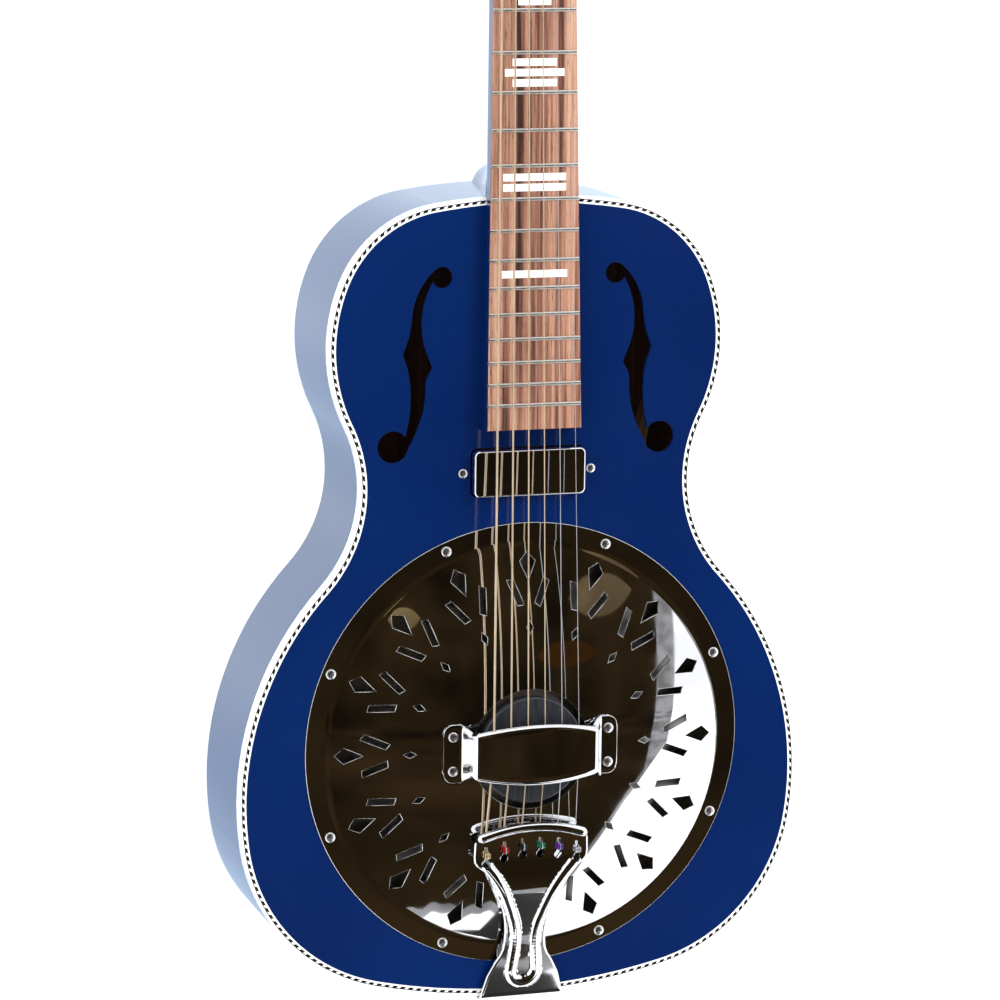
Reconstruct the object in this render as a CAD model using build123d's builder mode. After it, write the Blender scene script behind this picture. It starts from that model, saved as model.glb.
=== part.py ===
from build123d import *
from math import atan2, cos, pi, radians, sin, sqrt
import os

# A single-cone resonator guitar.  Millimetres.  The neck points up (+Z), the strings face -Y and
# the treble side is at +X.  The origin is the point where a wall hanger's yoke takes the
# guitar's weight: on the centre line, under the flare of the headstock.
#
# Every piece is drawn in one of three flat frames, each with its own x, y and height:
#   soundboard  origin over the cone's centre, y up the guitar, height towards the player
#   neck_top    origin where the fretboard's face crosses the body's end, y along the neck
#   head_face   origin at the nut, y along the headstock, height out of its face

# ---- driving dimensions ----
scale_length = 645.16
fret_count = 20
compensation = 2.0
neck_pitch = 2.5
head_pitch = 14.0
hanger_along = 340.0
hanger_behind = 14.0
fretboard_height = 7.5
fretboard_thickness = 6.0
nut_width = 44.45
nut_length = 5.0
body_end_width = 53.4

# The body's outer edge, from the tail round the treble side: (radius, turn in degrees).
# A negative turn is hollow.  One more arc, found from these, closes the outline at the neck.
tail_end = -154.5
outline_arcs = [(381.1, 13.6), (107.7, 67.8), (186.8, 51.3), (83.5, -68.9), (103.1, 48.0), (72.6, 59.1)]
depth_at_tail = 88.0
depth_at_neck = 82.0
body_length = 480.0
top_thickness = 3.0
back_thickness = 3.0
side_thickness = 2.8
binding_thickness = 1.7
binding_depth = 6.0
trim_width = 4.5
purfling_depth = 1.0

well_hole_radius = 122.0
well_outer_radius = 134.0
ledge_depth = 8.0
ledge_radius = 112.0
cone_radius = 120.6
cone_apex = 10.5
cover_radius = 133.35
cover_screw_radius = 128.0
cover_sheet = 0.9
dome_height = 15.5
dome_edge_radius = 119.0
dome_edge_height = 1.7
cover_hole_radius = 36.0
pattern_count = 16

saddle_height = 26.2
saddle_spread = 52.5
nut_spread = 35.5
ball_spread = 56.0
string_radii = [0.165, 0.215, 0.33, 0.445, 0.57, 0.71]

post_radius = 3.0
waist_radius = 2.5
wrap_height = 5.0
wrap_gap = 0.3
post_rows = [40.0, 85.0, 130.0]
post_offsets = [21.0, 22.0, 23.0]
head_thickness = 15.0
veneer_thickness = 2.0
gear_module = 0.8
gear_teeth = 14
worm_pitch_radius = 2.6
gear_width = 3.0
bearing_gap = 0.05

# ---- frames ----
pitch = radians(neck_pitch)
neck_y = -(hanger_along * sin(pitch) + hanger_behind * cos(pitch))
neck_z = -(hanger_along * cos(pitch) - hanger_behind * sin(pitch))
board_to_bridge = scale_length / 2 * cos(pitch) + compensation
soundboard = Plane((0, neck_y + fretboard_height, neck_z - board_to_bridge), x_dir=(1, 0, 0),
                   z_dir=(0, -1, 0))
neck_top = Plane((0, neck_y, neck_z), x_dir=(1, 0, 0), z_dir=(0, -cos(pitch), sin(pitch)))
nut_face = scale_length / 2
head_tilt = radians(neck_pitch + head_pitch)
head_start = neck_top.from_local_coords((0, nut_face + nut_length, -3.0))
head_face = Plane(head_start, x_dir=(1, 0, 0), z_dir=(0, -cos(head_tilt), sin(head_tilt)))
body_depth_at_cone = depth_at_tail + (depth_at_neck - depth_at_tail) * (-tail_end) / body_length
back_slope = atan2(depth_at_tail - depth_at_neck, body_length)
back_face = Plane(soundboard.from_local_coords((0, 0, -body_depth_at_cone)), x_dir=(1, 0, 0),
                  z_dir=(0, -cos(back_slope), -sin(back_slope)))


def save(builder, name):
    """Labels a finished piece and writes its STEP file."""
    builder.part.label = name
    export_step(builder.part, f"parts/{name}.step")
    print(f"{name}: {len(builder.part.solids())} solids, {builder.part.volume:.0f} mm3")


def on_board(x, y, height):
    return soundboard.from_local_coords((x, y, height))


def on_neck(x, y, height):
    return neck_top.from_local_coords((x, y, height))


def on_head(x, y, height):
    return head_face.from_local_coords((x, y, height))


def board_half_width(along):
    """Half the fretboard's width at a distance from the body's end towards the nut."""
    return (body_end_width + (nut_width - body_end_width) * along / nut_face) / 2


def fret_place(number):
    return scale_length * 2 ** (-number / 12) - scale_length / 2


def body_face(inset):
    """The body's outline, set in evenly by a margin."""
    with BuildSketch() as outline:
        with BuildLine():
            point = Vector(0, tail_end + inset)
            heading = Vector(1, 0)
            for radius, turn in outline_arcs:
                shrink = inset if turn > 0 else -inset
                arc = JernArc(point, heading, radius - shrink, turn)
                point = arc @ 1
                heading = arc % 1
            rest = 180 - sum(turn for radius, turn in outline_arcs)
            JernArc(point, heading, point.X / sin(radians(rest)), rest)
            mirror(about=Plane.YZ)
        make_face()
    return outline.sketch


def body_ring(outer_inset, inner_inset):
    with BuildSketch() as ring:
        add(body_face(outer_inset))
        add(body_face(inner_inset), mode=Mode.SUBTRACT)
    return ring.sketch


def between(face, upper, lower):
    """The solid with this outline between two planes, the upper one nearer the strings."""
    with BuildPart() as solid:
        with BuildSketch(soundboard):
            add(face)
        extrude(amount=-depth_at_tail - 10)
        split(bisect_by=upper, keep=Keep.BOTTOM)
        split(bisect_by=lower, keep=Keep.TOP)
    return solid.part


# ---- body ----
under_top = soundboard.offset(-top_thickness)
over_back = back_face.offset(back_thickness)
whole_body = between(body_face(0), soundboard, back_face)
lining_width = 6.0
lining_height = 10.0
pickup_centre = 164.0
pickup_width = 68.0
pickup_height = 27.6
pickup_corner = 3.5
pickup_screw_offset = 39.2

# One sound hole, on the bass side; the other mirrors it.
with BuildSketch() as f_hole:
    with BuildLine():
        ThreePointArc((-56.5, 284.0), (-66.0, 272.5), (-70.7, 255.0))
        Line((-70.7, 255.0), (-72.4, 244.5))
        Line((-72.4, 244.5), (-76.0, 235.0))
        Line((-76.0, 235.0), (-73.0, 226.5))
        ThreePointArc((-73.0, 226.5), (-71.1, 206.0), (-74.5, 186.0))
        Line((-74.5, 186.0), (-78.0, 172.5))
        ThreePointArc((-78.0, 172.5), (-67.0, 190.0), (-62.2, 219.0))
        Line((-62.2, 219.0), (-58.2, 226.6))
        Line((-58.2, 226.6), (-62.6, 238.0))
        ThreePointArc((-62.6, 238.0), (-63.6, 263.0), (-56.0, 280.0))
        Line((-56.0, 280.0), (-56.5, 284.0))
    make_face()
    with Locations((-52.7, 279.2)):
        Circle(6.1)
    with Locations((-81.5, 181.1)):
        Circle(9.3)
    mirror(about=Plane.YZ)

with BuildSketch() as cover_pilots:
    with PolarLocations(cover_screw_radius, 8, start_angle=22.5):
        Circle(1.2)

with BuildSketch() as pickup_route:
    with Locations((0, pickup_centre)):
        RectangleRounded(pickup_width + 1.2, pickup_height + 1.2, pickup_corner + 0.5)
    with Locations((-pickup_screw_offset, pickup_centre), (pickup_screw_offset, pickup_centre)):
        Circle(1.6)

with BuildPart() as top_plate:
    add(between(body_face(binding_thickness), soundboard, under_top))
    with BuildSketch(soundboard):
        add(body_ring(binding_thickness, trim_width))
    extrude(amount=-purfling_depth, mode=Mode.SUBTRACT)
    with BuildSketch(soundboard):
        Circle(well_hole_radius)
        add(f_hole.sketch)
        add(cover_pilots.sketch)
        add(pickup_route.sketch)
    extrude(amount=-top_thickness, mode=Mode.SUBTRACT)
save(top_plate, "top_plate")

with BuildPart() as top_purfling:
    with BuildSketch(soundboard):
        add(body_ring(binding_thickness, trim_width))
    extrude(amount=-purfling_depth)
save(top_purfling, "top_purfling")

with BuildPart() as bindings:
    add(between(body_ring(0, binding_thickness), soundboard, soundboard.offset(-binding_depth)))
    add(between(body_ring(0, binding_thickness), back_face.offset(binding_depth), back_face))
save(bindings, "bindings")

with BuildPart() as back_plate:
    add(between(body_face(binding_thickness), over_back, back_face))
save(back_plate, "back_plate")

jack_depth = 44.0
jack_barrel = 5.9
# The tailpiece's screws: (x, depth behind the soundboard).
bracket_screws = [(-13.0, 13.0), (13.0, 13.0), (0.0, 25.0)]
bracket_screw_radius = 1.6
neck_bolt_depths = (26.0, 56.0)
neck_bolt_radius = 3.0
jack_axis = Plane(on_board(0, tail_end, -jack_depth), x_dir=(1, 0, 0), z_dir=(0, 0, -1))
end_hole = Plane(jack_axis.origin + Vector(0, 0, -10), x_dir=(1, 0, 0), z_dir=(0, 0, 1))
with BuildSketch() as bracket_pilots:
    with Locations(*[(x, depth - jack_depth) for x, depth in bracket_screws]):
        Circle(bracket_screw_radius)

with BuildPart() as rim:
    add(between(body_ring(binding_thickness, side_thickness), under_top, over_back))
    add(between(body_ring(0, side_thickness), soundboard.offset(-binding_depth),
                back_face.offset(binding_depth)))
    with BuildSketch(end_hole):
        Circle(jack_barrel)
        add(bracket_pilots.sketch)
    extrude(amount=26, mode=Mode.SUBTRACT)
    for depth in neck_bolt_depths:
        with BuildSketch(Plane(on_board(0, 300, -depth), x_dir=(1, 0, 0), z_dir=(0, 0, 1))):
            Circle(neck_bolt_radius)
        extrude(amount=40, mode=Mode.SUBTRACT)

with BuildPart() as side_bass:
    add(rim.part)
    split(bisect_by=Plane.YZ, keep=Keep.BOTTOM)
save(side_bass, "side_bass")

with BuildPart() as side_treble:
    add(rim.part)
    split(bisect_by=Plane.YZ, keep=Keep.TOP)
save(side_treble, "side_treble")

neck_block_start = 284.0
tail_block_end = -135.0
with BuildSketch() as block_areas:
    with Locations((0, neck_block_start + 25)):
        Rectangle(76, 50)
    with Locations((0, tail_block_end - 25)):
        Rectangle(64, 50)
with BuildSketch() as block_faces:
    add(body_face(side_thickness))
    add(block_areas.sketch, mode=Mode.INTERSECT)

with BuildPart() as end_blocks:
    add(between(block_faces.sketch, under_top, over_back))
    with BuildSketch(end_hole):
        Circle(jack_barrel)
    extrude(amount=60, mode=Mode.SUBTRACT)
    with BuildSketch(end_hole):
        add(bracket_pilots.sketch)
    extrude(amount=27, mode=Mode.SUBTRACT)
    for depth in neck_bolt_depths:
        with BuildSketch(Plane(on_board(0, neck_block_start - 1, -depth), x_dir=(1, 0, 0), z_dir=(0, 0, 1))):
            Circle(neck_bolt_radius)
        extrude(amount=60, mode=Mode.SUBTRACT)
save(end_blocks, "end_blocks")

with BuildSketch() as lining_face:
    add(body_ring(side_thickness, side_thickness + lining_width))
    add(block_areas.sketch, mode=Mode.SUBTRACT)
with BuildPart() as linings:
    add(between(lining_face.sketch, under_top, under_top.offset(-lining_height)))
    add(between(lining_face.sketch, over_back.offset(lining_height), over_back))
save(linings, "linings")

well_depth = 22.0
sound_post_radius = 6.0
with BuildPart() as soundwell:
    with BuildSketch(under_top):
        Circle(well_outer_radius)
        Circle(well_hole_radius, mode=Mode.SUBTRACT)
    extrude(amount=-(ledge_depth - top_thickness))
    with BuildSketch(soundboard.offset(-ledge_depth)):
        Circle(well_outer_radius)
        Circle(ledge_radius, mode=Mode.SUBTRACT)
    extrude(amount=-(well_depth - ledge_depth))
    with BuildSketch(under_top):
        add(cover_pilots.sketch)
    extrude(amount=-12, mode=Mode.SUBTRACT)
with BuildSketch() as sound_posts:
    with PolarLocations((well_outer_radius + ledge_radius) / 2, 4, start_angle=45):
        Circle(sound_post_radius)
post_solids = between(sound_posts.sketch, soundboard.offset(-well_depth), over_back)
with BuildPart() as soundwell_node:
    add(soundwell.part)
    add(post_solids)
save(soundwell_node, "soundwell")

# ---- cone, biscuit and saddle ----
# Turned pieces are drawn on the plane through the cone's axis: x is the radius.
turning = Plane(soundboard.origin, x_dir=(1, 0, 0), z_dir=(0, 0, -1))
cone_axis = Axis(soundboard.origin, soundboard.z_dir)
cone_sheet = 0.7
biscuit_radius = 31.75
biscuit_thickness = 7.0
apex_radius = 13.0
cone_floor = -ledge_depth + cone_sheet

with BuildPart() as cone:
    with BuildSketch(turning):
        with BuildLine():
            Polyline((0, cone_apex), (apex_radius, cone_apex), (112, cone_floor), (cone_radius, cone_floor),
                     (cone_radius, -ledge_depth), (111.9, -ledge_depth),
                     (apex_radius, cone_apex - cone_sheet), (0, cone_apex - cone_sheet), (0, cone_apex))
        make_face()
    revolve(axis=cone_axis)
save(cone, "cone")

biscuit_top = cone_apex + biscuit_thickness
saddle_width = 60.0
saddle_thickness = 3.2
saddle_sunk = 4.0
with BuildPart() as biscuit:
    with BuildSketch(soundboard.offset(cone_apex)):
        Circle(biscuit_radius)
    extrude(amount=biscuit_thickness)
    chamfer(biscuit.edges().filter_by(GeomType.CIRCLE), 0.8)
    with BuildSketch(soundboard.offset(biscuit_top)):
        with Locations((0, compensation)):
            Rectangle(saddle_width, saddle_thickness)
    extrude(amount=-saddle_sunk, mode=Mode.SUBTRACT)
save(biscuit, "biscuit")

# ---- coverplate ----
dome_drop = dome_height - dome_edge_height
dome_radius = (dome_edge_radius ** 2 + dome_drop ** 2) / (2 * dome_drop)


def dome_top(radius):
    """Height of the coverplate's domed face at a distance from its centre."""
    return dome_height - dome_radius + sqrt(dome_radius ** 2 - radius ** 2)


# The pattern's pieces, each on the line that points straight up the guitar.
with BuildSketch() as grille_cuts:
    with PolarLocations(108.0, pattern_count, start_angle=90):
        Polygon((8.3, 0), (3.0, 4.8), (-8.3, 0), (3.0, -4.8), align=None)
    with PolarLocations(72.6, pattern_count, start_angle=90):
        Polygon((4.0, 0), (0, 2.0), (-4.0, 0), (0, -2.0), align=None)
    for side in (-1, 1):
        with PolarLocations(93.3, pattern_count, start_angle=90 + 5 * side):
            with Locations(Location((0, 0, 0), (0, 0, 17.5 * side))):
                Polygon((8.6, 2.0), (-7.4, 2.0), (-8.6, -2.0), (7.4, -2.0), align=None)

foot_x = 47.8
foot_screw_y = 10.3
with BuildPart() as coverplate:
    with BuildSketch(turning):
        with BuildLine():
            middle = (dome_edge_radius + cover_hole_radius) / 2
            Polyline((cover_hole_radius, dome_top(cover_hole_radius) - cover_sheet),
                     (cover_hole_radius, dome_top(cover_hole_radius)))
            ThreePointArc((cover_hole_radius, dome_top(cover_hole_radius)), (middle, dome_top(middle)),
                          (dome_edge_radius, dome_edge_height))
            Polyline((dome_edge_radius, dome_edge_height), (123.0, cover_sheet), (cover_radius, cover_sheet),
                     (cover_radius, 0), (122.6, 0), (dome_edge_radius - 0.4, dome_edge_height - cover_sheet))
            ThreePointArc((dome_edge_radius - 0.4, dome_edge_height - cover_sheet),
                          (middle, dome_top(middle) - cover_sheet),
                          (cover_hole_radius, dome_top(cover_hole_radius) - cover_sheet))
        make_face()
    revolve(axis=cone_axis)
    with BuildSketch(soundboard):
        add(grille_cuts.sketch)
        with PolarLocations(cover_screw_radius, 8, start_angle=22.5):
            Circle(1.8)
        with GridLocations(2 * foot_x, 2 * foot_screw_y, 2, 2):
            Circle(1.4)
    extrude(amount=dome_height + 1, mode=Mode.SUBTRACT)
save(coverplate, "coverplate")

# ---- handrest: a barrel-shaped bridge over the saddle, on two feet ----
rest_crown = 31.6
rest_shoulder = 28.6
rest_sheet = 1.2
rest_half = 38.0
foot_inner = 42.2
foot_outer = 53.6
foot_top = 15.1
with BuildPart() as handrest:
    with BuildSketch(Plane(soundboard.origin, x_dir=(1, 0, 0), z_dir=(0, 0, -1)).offset(-25)):
        with BuildLine():
            ThreePointArc((-rest_half, rest_shoulder), (0, rest_crown), (rest_half, rest_shoulder))
            FilletPolyline((rest_half, rest_shoulder), (foot_inner, foot_top), (foot_outer, foot_top),
                           radius=2)
            Line((foot_outer, foot_top), (foot_outer, foot_top - rest_sheet))
            FilletPolyline((foot_outer, foot_top - rest_sheet), (foot_inner - 1.0, foot_top - rest_sheet),
                           (rest_half - 1.2, rest_shoulder - rest_sheet), radius=2)
            ThreePointArc((rest_half - 1.2, rest_shoulder - rest_sheet), (0, rest_crown - rest_sheet),
                          (1.2 - rest_half, rest_shoulder - rest_sheet))
            FilletPolyline((1.2 - rest_half, rest_shoulder - rest_sheet),
                           (1.0 - foot_inner, foot_top - rest_sheet),
                           (-foot_outer, foot_top - rest_sheet), radius=2)
            Line((-foot_outer, foot_top - rest_sheet), (-foot_outer, foot_top))
            FilletPolyline((-foot_outer, foot_top), (-foot_inner, foot_top), (-rest_half, rest_shoulder),
                           radius=2)
        make_face()
    extrude(amount=50)
    with BuildSketch(soundboard.offset(5)):
        with BuildLine():
            ThreePointArc((-40, 13.4), (0, 18.2), (40, 13.4))
            Polyline((40, 13.4), (42, 17.6), (44, 17.6))
            ThreePointArc((44, 17.6), (61.6, 0), (44, -17.6))
            Polyline((44, -17.6), (42, -17.6), (40, -13.4))
            ThreePointArc((40, -13.4), (0, -18.2), (-40, -13.4))
            Polyline((-40, -13.4), (-42, -17.6), (-44, -17.6))
            ThreePointArc((-44, -17.6), (-61.6, 0), (-44, 17.6))
            Polyline((-44, 17.6), (-42, 17.6), (-40, 13.4))
        make_face()
    extrude(amount=40, mode=Mode.INTERSECT)
    with BuildSketch(soundboard):
        with GridLocations(2 * foot_x, 2 * foot_screw_y, 2, 2):
            Circle(1.7)
    extrude(amount=40, mode=Mode.SUBTRACT)
save(handrest, "handrest")

# ---- neck ----
board_end = fret_place(fret_count) - 14.3
head_length = 172.0
head_half_top = 36.5
tongue_overlap = 1.5
rod_width = 6.0
rod_depth = 9.0
rod_start = 12.0
rod_end = nut_face + nut_length + 22.0


def neck_section(along, depth):
    """The neck's D-shaped section under the fretboard."""
    half = board_half_width(min(along, nut_face))
    across_neck = Plane(on_neck(0, along, 0), x_dir=(1, 0, 0), z_dir=(0, sin(pitch), cos(pitch)))
    with BuildSketch(across_neck) as section:
        with BuildLine():
            Line((-half, fretboard_thickness), (half, fretboard_thickness))
            EllipticalCenterArc((0, fretboard_thickness), half, depth, arc_size=180)
        make_face()
    return section.sketch


def heel_section(depth, half, reach):
    """The heel's section at a depth behind the fretboard, reaching out along the neck."""
    with BuildSketch(neck_top.offset(-depth)) as section:
        with BuildLine():
            Polyline((-half, 0), (-half, -8), (half, -8), (half, 0))
            EllipticalCenterArc((0, 0), half, reach, arc_size=180)
        make_face()
    return section.sketch


def board_outline(start, end):
    with BuildSketch() as outline:
        Polygon((-board_half_width(start), start), (board_half_width(start), start),
                (board_half_width(end), end), (-board_half_width(end), end), align=None)
    return outline.sketch


with BuildSketch() as head_outline:
    with BuildLine():
        Polyline((0, -6), (22.8, -6), (22.8, 3))
        ThreePointArc((22.8, 3), (26.2, 16), (33, 26))
        Line((33, 26), (head_half_top, head_length - 6))
        ThreePointArc((head_half_top, head_length - 6), (19, head_length - 1.2), (0, head_length))
        mirror(about=Plane.YZ)
    make_face()
    fillet(head_outline.vertices().group_by(Axis.Y)[-2], 5)

# One tuning post for each string, numbered from the thinnest: (string, side, x, place along the head).
posts = []
for number in range(1, 7):
    side = 1 if number <= 3 else -1
    step = number - 1 if number <= 3 else 6 - number
    posts.append((number, side, side * post_offsets[step], post_rows[step]))
post_spots = [(x, row) for number, side, x, row in posts]
bushing_radius = 4.4
post_clear = 3.5
plate_screw_radius = 1.25
plate_screw_places = (7.4, -14.4)

neck_sections = [neck_section(0, 17.0), neck_section(70, 16.0), neck_section(200, 14.6),
                 neck_section(nut_face + nut_length, 13.4)]
heel_sections = [heel_section(14, 25.0, 66), heel_section(24, 23.0, 43), heel_section(42, 18.5, 26),
                 heel_section(62, 15.5, 19), heel_section(80, 14.0, 16)]

with BuildPart() as neck_shaft:
    for section in neck_sections:
        add(section)
    loft()

with BuildPart() as heel:
    for section in heel_sections:
        add(section)
    loft()

with BuildPart() as neck:
    add(neck_shaft.part)
    add(heel.part)
    with BuildSketch(neck_top.offset(-fretboard_thickness)):
        add(board_outline(board_end - 1, tongue_overlap))
    extrude(amount=-12)
    with BuildSketch(head_face.offset(-veneer_thickness)):
        add(head_outline.sketch)
    extrude(amount=-head_thickness)
    with BuildSketch(neck_top.offset(-fretboard_thickness)):
        with Locations((0, nut_face + nut_length - 100)):
            Rectangle(120, 200)
        with Locations((0, (rod_start + rod_end) / 2)):
            Rectangle(rod_width, rod_end - rod_start)
    extrude(amount=30, mode=Mode.SUBTRACT)
    with BuildSketch(neck_top.offset(-fretboard_thickness)):
        with Locations((0, (rod_start + rod_end) / 2)):
            Rectangle(rod_width, rod_end - rod_start)
    extrude(amount=-rod_depth, mode=Mode.SUBTRACT)
    add(whole_body, mode=Mode.SUBTRACT)
    with BuildSketch(head_face):
        with Locations(*post_spots):
            Circle(bushing_radius)
    extrude(amount=-8, mode=Mode.SUBTRACT)
    with BuildSketch(head_face):
        with Locations(*post_spots):
            Circle(post_clear)
    extrude(amount=-head_thickness - 10, mode=Mode.SUBTRACT)
    with BuildSketch(head_face.offset(-veneer_thickness - head_thickness)):
        with Locations(*[(x, row + place) for x, row in post_spots for place in plate_screw_places]):
            Circle(plate_screw_radius)
    extrude(amount=9, mode=Mode.SUBTRACT)
    for depth in neck_bolt_depths:
        with BuildSketch(Plane(on_board(0, neck_block_start, -depth), x_dir=(1, 0, 0), z_dir=(0, 0, 1))):
            Circle(neck_bolt_radius)
        extrude(amount=56, mode=Mode.SUBTRACT)
save(neck, "neck")

with BuildPart() as headstock_veneer:
    with BuildSketch(head_face):
        add(head_outline.sketch)
        with Locations((0, -9.4)):
            Rectangle(80, 20, mode=Mode.SUBTRACT)
        with Locations(*post_spots):
            Circle(bushing_radius, mode=Mode.SUBTRACT)
        with Locations((0, 10)):
            Rectangle(rod_width + 3, 21, mode=Mode.SUBTRACT)
    extrude(amount=-veneer_thickness)
save(headstock_veneer, "headstock_veneer")

with BuildPart() as neck_bolts:
    for depth in neck_bolt_depths:
        with BuildSketch(Plane(on_board(0, neck_block_start, -depth), x_dir=(1, 0, 0), z_dir=(0, 0, 1))):
            Circle(neck_bolt_radius - 0.1)
        extrude(amount=54)
        with BuildSketch(Plane(on_board(0, neck_block_start, -depth), x_dir=(1, 0, 0), z_dir=(0, 0, -1))):
            Circle(6.5)
            RegularPolygon(2.6, 6, mode=Mode.SUBTRACT)
        extrude(amount=5)
save(neck_bolts, "neck_bolts")

with BuildPart() as truss_rod:
    with BuildSketch(neck_top.offset(-fretboard_thickness - 0.3)):
        with Locations((0, (rod_start + nut_face) / 2)):
            Rectangle(rod_width - 0.4, nut_face - rod_start - 1)
    extrude(amount=-rod_depth + 0.8)
    rod_tip = on_neck(0, nut_face - 1, -fretboard_thickness - 4.6)
    with BuildSketch(Plane(rod_tip, x_dir=(1, 0, 0), z_dir=(0, sin(pitch), cos(pitch)))):
        Circle(2.6)
        RegularPolygon(1.5, 6, mode=Mode.SUBTRACT)
    extrude(amount=14)
save(truss_rod, "truss_rod")

cover_plate_thickness = 1.6
with BuildPart() as truss_rod_cover:
    with BuildSketch(head_face):
        with BuildLine():
            Polyline((0, 0.5), (9, 0.5), (9, 10))
            ThreePointArc((9, 10), (7.5, 20), (0, 29))
            mirror(about=Plane.YZ)
        make_face()
    extrude(amount=cover_plate_thickness)
    with BuildSketch(head_face):
        with Locations((0, 24.5), (0, 3.5)):
            Circle(1.1)
    extrude(amount=cover_plate_thickness, mode=Mode.SUBTRACT)
save(truss_rod_cover, "truss_rod_cover")

# ---- fretboard, frets, markers and nut ----
fret_width = 2.4
fret_height = 1.1
tang_width = 0.6
tang_depth = 2.0
marker_depth = 1.2
marker_pitch = 5.9
marker_bar = 4.3
# Fret number: bars in its marker, and the width that the bars' oval outline would reach.
markers = {3: (6, 26.0), 5: (5, 28.0), 7: (4, 30.0), 9: (3, 35.8), 12: (2, 43.9), 15: (1, 39.5)}

with BuildSketch() as marker_bars:
    for number, (bars, widest) in markers.items():
        centre = (fret_place(number - 1) + fret_place(number)) / 2
        room = fret_place(number - 1) - fret_place(number) - fret_width - 1.5
        spacing = min(marker_pitch, room / bars)
        for bar in range(bars):
            step = (bar - (bars - 1) / 2) * spacing
            width = widest * sqrt(1 - (2 * step / (bars * spacing)) ** 2)
            with Locations((0, centre + step)):
                Rectangle(width, marker_bar * spacing / marker_pitch)

with BuildPart() as position_markers:
    with BuildSketch(neck_top):
        add(marker_bars.sketch)
    extrude(amount=-marker_depth)
save(position_markers, "position_markers")

with BuildSketch() as fret_slots:
    for number in range(1, fret_count + 1):
        with Locations((0, fret_place(number))):
            Rectangle(70, tang_width)

with BuildPart() as fretboard:
    with BuildSketch(neck_top):
        add(board_outline(board_end, nut_face))
    extrude(amount=-fretboard_thickness)
    with BuildSketch(neck_top):
        add(marker_bars.sketch)
    extrude(amount=-marker_depth, mode=Mode.SUBTRACT)
    with BuildSketch(neck_top):
        add(fret_slots.sketch)
    extrude(amount=-tang_depth, mode=Mode.SUBTRACT)
save(fretboard, "fretboard")

with BuildPart() as frets:
    for number in range(1, fret_count + 1):
        place = fret_place(number)
        half = board_half_width(place) - 0.3
        with BuildSketch(Plane(on_neck(-half, place, 0), x_dir=(0, sin(pitch), cos(pitch)), z_dir=(1, 0, 0))):
            with BuildLine():
                ThreePointArc((-fret_width / 2, 0), (0, fret_height), (fret_width / 2, 0))
                Polyline((fret_width / 2, 0), (tang_width / 2, 0), (tang_width / 2, -tang_depth),
                         (-tang_width / 2, -tang_depth), (-tang_width / 2, 0), (-fret_width / 2, 0))
            make_face()
        extrude(amount=2 * half)
save(frets, "frets")


def string_share(index):
    """Place across the set, -0.5 at the thickest string to 0.5 at the thinnest."""
    return index / 5 - 0.5


def string_start(number, wire):
    """Where a string leaves the inner side of its post."""
    string, side, x, row = posts[number - 1]
    return on_head(x - side * (waist_radius + wire + wrap_gap), row, wrap_height)


thick_first = list(reversed(string_radii))
nut_rest = fret_height + 0.3
nut_top = 3.0
with BuildPart() as nut:
    with BuildSketch(neck_top.offset(-fretboard_thickness)):
        with Locations((0, nut_face + nut_length / 2)):
            Rectangle(nut_width, nut_length)
    extrude(amount=fretboard_thickness + nut_top)
    chamfer(nut.edges().filter_by(Axis.X).sort_by(Axis.Y)[:2], 0.8)
    for index, radius in enumerate(thick_first):
        start = on_neck(nut_spread * string_share(index), nut_face, nut_rest - 0.1)
        toward_post = string_start(6 - index, radius) - start
        slot = Plane(start, x_dir=toward_post.cross(head_face.z_dir), z_dir=head_face.z_dir)
        with BuildSketch(slot):
            Rectangle(2 * radius + 0.2, 2 * nut_length + 4)
        extrude(amount=10, mode=Mode.SUBTRACT)
save(nut, "nut")

with BuildPart() as saddle:
    with BuildSketch(soundboard.offset(biscuit_top - saddle_sunk)):
        with Locations((0, compensation)):
            Rectangle(saddle_width - 0.4, saddle_thickness - 0.1)
    extrude(amount=saddle_height + 0.6 - biscuit_top + saddle_sunk)
    for index, radius in enumerate(thick_first):
        with BuildSketch(soundboard.offset(saddle_height - radius - 0.2)):
            with Locations((saddle_spread * string_share(index), compensation)):
                Rectangle(2 * radius + 0.2, 6)
        extrude(amount=10, mode=Mode.SUBTRACT)
save(saddle, "saddle")

# ---- tailpiece ----
tail_sheet = 1.5
roll_radius = 3.0
roll_height = 20.9
end_gap = 0.25
bracket_reach = 56.0
slot_width = 1.9
slot_length = 14.6
tail_path = [(-47.0, 19.0), (-74.0, 18.0), (-112.0, 9.6), (tail_end - end_gap - tail_sheet / 2, 2.2),
             (tail_end - end_gap - tail_sheet / 2, -bracket_reach)]
side_view = Plane(on_board(-60, 0, 0), x_dir=(0, 0, 1), z_dir=(1, 0, 0))


def tail_sag(x):
    """How far the tailpiece's front edge, slots and balls fall back from the centre line."""
    return x * x / 185


def sheet_top(y):
    """Height of the tailpiece's sheet between its front edge and its first bend."""
    (y_front, front), (y_bend, bend) = tail_path[:2]
    return front + (bend - front) * (y - y_front) / (y_bend - y_front) + tail_sheet / 2


def bent_sheet(rise):
    """The tailpiece's bent sheet, full width, raised by a height along its top."""
    path = [(x, y + rise) for x, y in tail_path[:-1]] + [tail_path[-1]]
    with BuildPart() as sheet:
        with BuildSketch(side_view):
            with BuildLine():
                bends = FilletPolyline(*path, radius=2.2)
                offset(bends, amount=tail_sheet / 2, side=Side.BOTH)
            make_face()
        extrude(amount=120)
    return sheet.part


key_spots = []
for index in range(6):
    x = ball_spread * string_share(index)
    key_spots.append((x, -62.6 - tail_sag(x)))

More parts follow.
